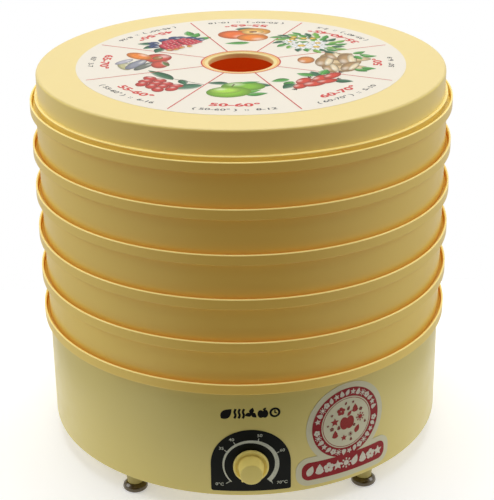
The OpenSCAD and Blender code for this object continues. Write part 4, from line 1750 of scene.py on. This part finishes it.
@dataclass
class Badge:
    """The printed badge: a ring round a pale disc, and a banner under it."""

    moulding: Moulding
    angle: float = 27.3
    ring_outer: float = 35.0
    ring_inner: float = 24.7
    banner_w: float = 89.0
    banner_h: float = 18.5
    border: float = 5.5

    def build(self) -> None:
        """Makes the badge's film and prints it."""
        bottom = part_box("base_housing")[0][2] / MM
        self.centre = bottom + 61.5
        self.banner_z = bottom + 19.0
        wall = WallSurface(self.moulding.wall_r, self.angle)
        film = Sheet("badge_film", wall, 0.3, 0.0)
        pale = Look.BADGE.value.colour
        self.disc(film, self.centre, self.ring_outer + self.border, pale)
        film.level += 0.01
        self.pill(film, self.banner_w / 2 + self.border, self.banner_h / 2 + self.border, pale, 0.85)
        film.build(Look.BADGE, "base", "badge_print", ["badge_sticker"], depth=0.3)
        self.print_on(wall)

    def disc(self, art: Sheet, z: float, radius: float, tint: Colour) -> None:
        """A round shape."""
        art.strips(-radius, radius, lambda x: z - max(0.0, radius ** 2 - x * x) ** 0.5,
                   lambda x: z + max(0.0, radius ** 2 - x * x) ** 0.5, tint)

    def pill(self, art: Sheet, half_w: float, half_h: float, tint: Colour, rounding: float) -> None:
        """A banner with rounded ends.

        Args:
            art: The sheet that it is printed on.
            half_w: Half its width.
            half_h: Half its height.
            tint: Its colour.
            rounding: Its ends' radius, as a share of half the height.
        """
        r = half_h * rounding

        def drop(x: float) -> float:
            """How far the edge is short of the full height."""
            past = max(0.0, abs(x) - (half_w - r))
            return r - max(0.0, r * r - past * past) ** 0.5
        art.strips(-half_w, half_w, lambda x: self.banner_z - half_h + drop(x),
                   lambda x: self.banner_z + half_h - drop(x), tint, 64)

    def print_on(self, wall: WallSurface) -> None:
        """Prints the ring, the banner and their plain ornaments.

        Args:
            wall: The wall under the film.
        """
        red = srgb(150, 34, 38)
        deep = srgb(158, 52, 46)
        brown = srgb(128, 62, 50)
        white = srgb(214, 208, 190)
        art = Sheet("badge_art", wall, 0.36, 0.004)
        z = self.centre
        art.band(0, z, self.ring_inner + 1.3, self.ring_outer, 0, 360, red, sides=96)
        art.band(0, z, self.ring_inner - 0.4, self.ring_inner + 0.2, 0, 360, red, sides=96)
        middle = (self.ring_inner + 1.3 + self.ring_outer) / 2
        kinds = list(Ornament)
        for k in range(33):
            a = 360 * k / 33
            if 262 < a < 278 or 82 < a < 98:
                continue
            kinds[k % 5].draw(art, middle * sin(radians(a)), z + middle * cos(radians(a)), 3.15, a, white)
        self.pill(art, self.banner_w / 2, self.banner_h / 2, red, 0.8)
        for k in range(9):
            kinds[(k * 2) % 5].draw(art, -36.4 + 9.1 * k, self.banner_z, 5.4, 0, white)
        self.scatter(art, z, deep, brown)
        art.build(Look.PANEL_INK, "base", "badge_print")

    def scatter(self, art: Sheet, z: float, deep: Colour, brown: Colour) -> None:
        """Prints an apple with plain shapes scattered round it.

        Args:
            art: The sheet that it is printed on.
            z: Height of the disc's middle.
            deep: Colour of the larger shapes.
            brown: Colour of the smaller ones.
        """
        for side in (-1, 1):
            art.blob(2.9 * side, z - 0.6, 9.0, 13.0, deep, -6 * side)
        art.leaf(0.3, z + 6.2, 6.5, 3.4, 48, deep, vein=False)
        for kind, x, y, size in ((Ornament.STAR, -12.8, 3.0, 4.4), (Ornament.FLOWER, -6.5, 12.6, 4.4),
                                 (Ornament.DROP, 8.3, 12.2, 4.2), (Ornament.SUN, 14.2, 1.6, 4.5),
                                 (Ornament.LEAF, 10.8, -9.8, 4.2), (Ornament.DROP, -12.2, -10.0, 4.0),
                                 (Ornament.STAR, -3.2, -15.4, 3.4)):
            kind.draw(art, x, z + y, size, 0, deep)
        for kind, x, y, size in ((Ornament.LEAF, 1.2, 14.0, 2.4), (Ornament.STAR, 6.0, 19.2, 1.8),
                                 (Ornament.FLOWER, 14.6, 9.6, 2.0), (Ornament.STAR, -15.8, 10.4, 1.8),
                                 (Ornament.DROP, -8.6, -3.6, 2.3), (Ornament.FLOWER, -15.6, -3.6, 2.2),
                                 (Ornament.SUN, 3.8, -13.2, 2.3), (Ornament.DROP, 4.4, -18.6, 1.9),
                                 (Ornament.STAR, -19.6, 0.6, 1.5), (Ornament.DROP, 19.6, -4.6, 1.7),
                                 (Ornament.LEAF, -1.6, 19.6, 1.8), (Ornament.FLOWER, 7.6, -4.8, 1.7)):
            kind.draw(art, x, z + y, size, 0, brown)


@dataclass
class Dial:
    """The thermostat knob: a dished flange, a tapered grip and a small pointer."""

    flange_r: float = 15.9
    flange_t: float = 3.7
    grip_r: float = 11.4
    tip_r: float = 10.0
    pointer_angle: float = 27.7

    def build(self) -> None:
        """Makes the knob."""
        low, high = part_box("knob")
        back, front = high[1] / MM, low[1] / MM
        height = (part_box("thermostat_nut")[0][2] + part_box("thermostat_nut")[1][2]) / 2
        depth = back - front
        t = self.flange_t
        corners = [(0, 2.4, 0), (9, 2.4, 0.3), (9, 0, 0.2), (self.flange_r, 0, 0.5), (self.flange_r, t, 0.9),
                   (self.flange_r - 2.0, t, 0.8), (self.grip_r + 1.6, t - 1.7, 1.2), (self.grip_r + 0.2, t - 1.5, 0.8),
                   (self.tip_r, depth, 0.9), (0, depth, 0)]
        place = Matrix.Translation((0, back * MM, height)) @ Matrix.Rotation(radians(90), 4, "X")
        piece = lathe("knob_grip", fillet(corners, 6), 96, place)
        self.pointer(piece, place)
        finish_piece(piece, Look.KNOB, "dial", ["knob"])

    def pointer(self, piece: bpy.types.Object, place: Matrix) -> None:
        """Adds the small pointer at the flange's edge.

        Args:
            piece: The knob.
            place: The knob's place.
        """
        made = bmesh.new()
        tip = self.flange_r + 1.8
        thick = self.flange_t - 0.6
        outline = [(14.0, -3.4), (tip - 0.5, -0.5), (tip, 0.0), (tip - 0.5, 0.5), (14.0, 3.4)]
        turn = Matrix.Rotation(radians(-90 - self.pointer_angle), 4, "Z")
        lower = [made.verts.new((x * MM, y * MM, 0.4 * MM)) for x, y in outline]
        upper = [made.verts.new((x * MM, y * MM, thick * MM)) for x, y in outline]
        made.faces.new(list(reversed(lower)))
        made.faces.new(upper)
        for k in range(len(outline)):
            j = (k + 1) % len(outline)
            made.faces.new((lower[k], lower[j], upper[j], upper[k]))
        made.transform(place @ turn)
        made.from_mesh(piece.data)
        made.to_mesh(piece.data)
        made.free()
        smooth(piece.data)


@dataclass
class Fan:
    """The fan: a rounded hub and twisted blades."""

    blades: int = 7
    root_lean: float = 44.0
    tip_lean: float = 22.0
    thickness: float = 1.6

    def build(self) -> None:
        """Makes the hub and the blades."""
        low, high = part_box("impeller")
        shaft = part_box("motor_shaft")
        self.low, self.high, self.reach = low[2] / MM, high[2] / MM, high[0] / MM
        self.hub_r, self.bore = 11.0, (shaft[1][0] - shaft[0][0]) / 2 / MM
        corners = [(self.bore, self.low, 0.2), (self.hub_r, self.low, 1.0), (self.hub_r, self.high, 2.5),
                   (6.0, self.high, 0.8), (5.0, self.high - 2, 0.5), (self.bore, self.high - 2, 0.2)]
        finish_piece(lathe("fan_hub", fillet(corners), 64), Look.BLACK, "fan", ["impeller"])
        blade = new_object("fan_blades", self.blade())
        RepeatTree.bake(blade, RepeatTree.round_about(Look.BLACK), {"Count": self.blades}, 50.0)
        finish_piece(blade, Look.BLACK, "fan")

    def blade(self) -> bpy.types.Mesh:
        """Makes one blade, twisted from root to tip.

        Returns:
            The blade's mesh.
        """
        rows, columns = 9, 5
        middle, rise = (self.low + self.high) / 2, (self.high - self.low) / 2 - 0.8
        made = bmesh.new()
        skins = []
        for side in (0.5, -0.5):
            skin = []
            for i in range(rows):
                t = i / (rows - 1)
                lean = radians(self.root_lean + (self.tip_lean - self.root_lean) * t)
                half = rise / sin(radians(self.root_lean)) * (0.75 + 0.25 * sin(pi * t))
                radius = self.hub_r - 0.6 + (self.reach - 2.5 - self.hub_r) * t
                row = []
                for j in range(columns):
                    c = (2 * j / (columns - 1) - 1) * half
                    z = c * sin(lean) * 0.9 + side * self.thickness * cos(lean)
                    y = c * cos(lean) - side * self.thickness * sin(lean)
                    row.append(made.verts.new((radius * MM, y * MM, (middle + z) * MM)))
                skin.append(row)
            skins.append(skin)
        for skin, flip in zip(skins, (False, True)):
            for i in range(rows - 1):
                for j in range(columns - 1):
                    loop = (skin[i][j], skin[i + 1][j], skin[i + 1][j + 1], skin[i][j + 1])
                    made.faces.new(tuple(reversed(loop)) if flip else loop)
        upper, lower = skins
        edge = ([(i, 0) for i in range(rows)] + [(rows - 1, j) for j in range(1, columns)]
                + [(i, columns - 1) for i in range(rows - 2, -1, -1)] + [(0, j) for j in range(columns - 2, 0, -1)])
        for (a, b), (c, d) in zip(edge, edge[1:] + edge[:1]):
            made.faces.new((upper[a][b], lower[a][b], lower[c][d], upper[c][d]))
        bmesh.ops.recalc_face_normals(made, faces=made.faces)
        mesh = bpy.data.meshes.new("fan_blades")
        made.to_mesh(mesh)
        made.free()
        return mesh


@dataclass
class Works:
    """What the base holds, dressed as it is."""

    looks: dict[str, Look] = field(default_factory=lambda: {
        # the bottom plate wears a painted shade: the cream plastic darkened for the shade underneath
        "bottom_plate": Look.UNDERSIDE_SHADE, "deck_plate": Look.CREAM, "bottom_plate_screws": Look.STEEL,
        "thermostat_shaft": Look.STEEL, "thermostat_body": Look.CERAMIC, "thermostat_nut": Look.STEEL,
        "fan_duct": Look.ZINC, "heater_element": Look.HEATER, "heater_brackets": Look.STEEL,
        "heater_insulators": Look.CERAMIC, "thermal_fuse": Look.ZINC, "motor_core": Look.CORE,
        "motor_bobbin": Look.WHITE, "motor_coil": Look.WINDING, "motor_brackets": Look.ZINC,
        "motor_bushes": Look.BRASS, "motor_screws": Look.STEEL, "motor_rotor": Look.CORE, "motor_shaft": Look.STEEL,
        "impeller_clip": Look.STEEL, "terminal_block": Look.WHITE,
        "internal_wires": Look.WIRE, "cord_gland": Look.BLACK, "gland_nut": Look.BLACK,
        "cord_clamp": Look.WHITE, "clamp_screws": Look.STEEL})

    def build(self) -> None:
        """Dresses the CAD nodes."""
        for node, look in self.looks.items():
            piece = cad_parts[node]
            piece.data.materials.clear()
            piece.data.materials.append(material(look))
            log.info("%s: dressed as %s", node, look.name)


def main() -> None:
    """Builds the studio and every sub-assembly in order."""
    logging.basicConfig(level=logging.INFO, format="%(name)s: %(message)s")
    Studio().build()
    moulding = Moulding()
    Works().build()
    Base(moulding).build()
    Badge(moulding).build()
    Dial().build()
    Fan().build()
    floor_tree = RepeatTree.grid(Look.TRAY_FLOOR_GLOW)
    for number in (5, 4, 3, 2, 1):
        Tray(number, moulding, floor_tree).build()
    Lid(moulding).build()
    LidLabel().build()


if __name__ == "__main__":
    main()
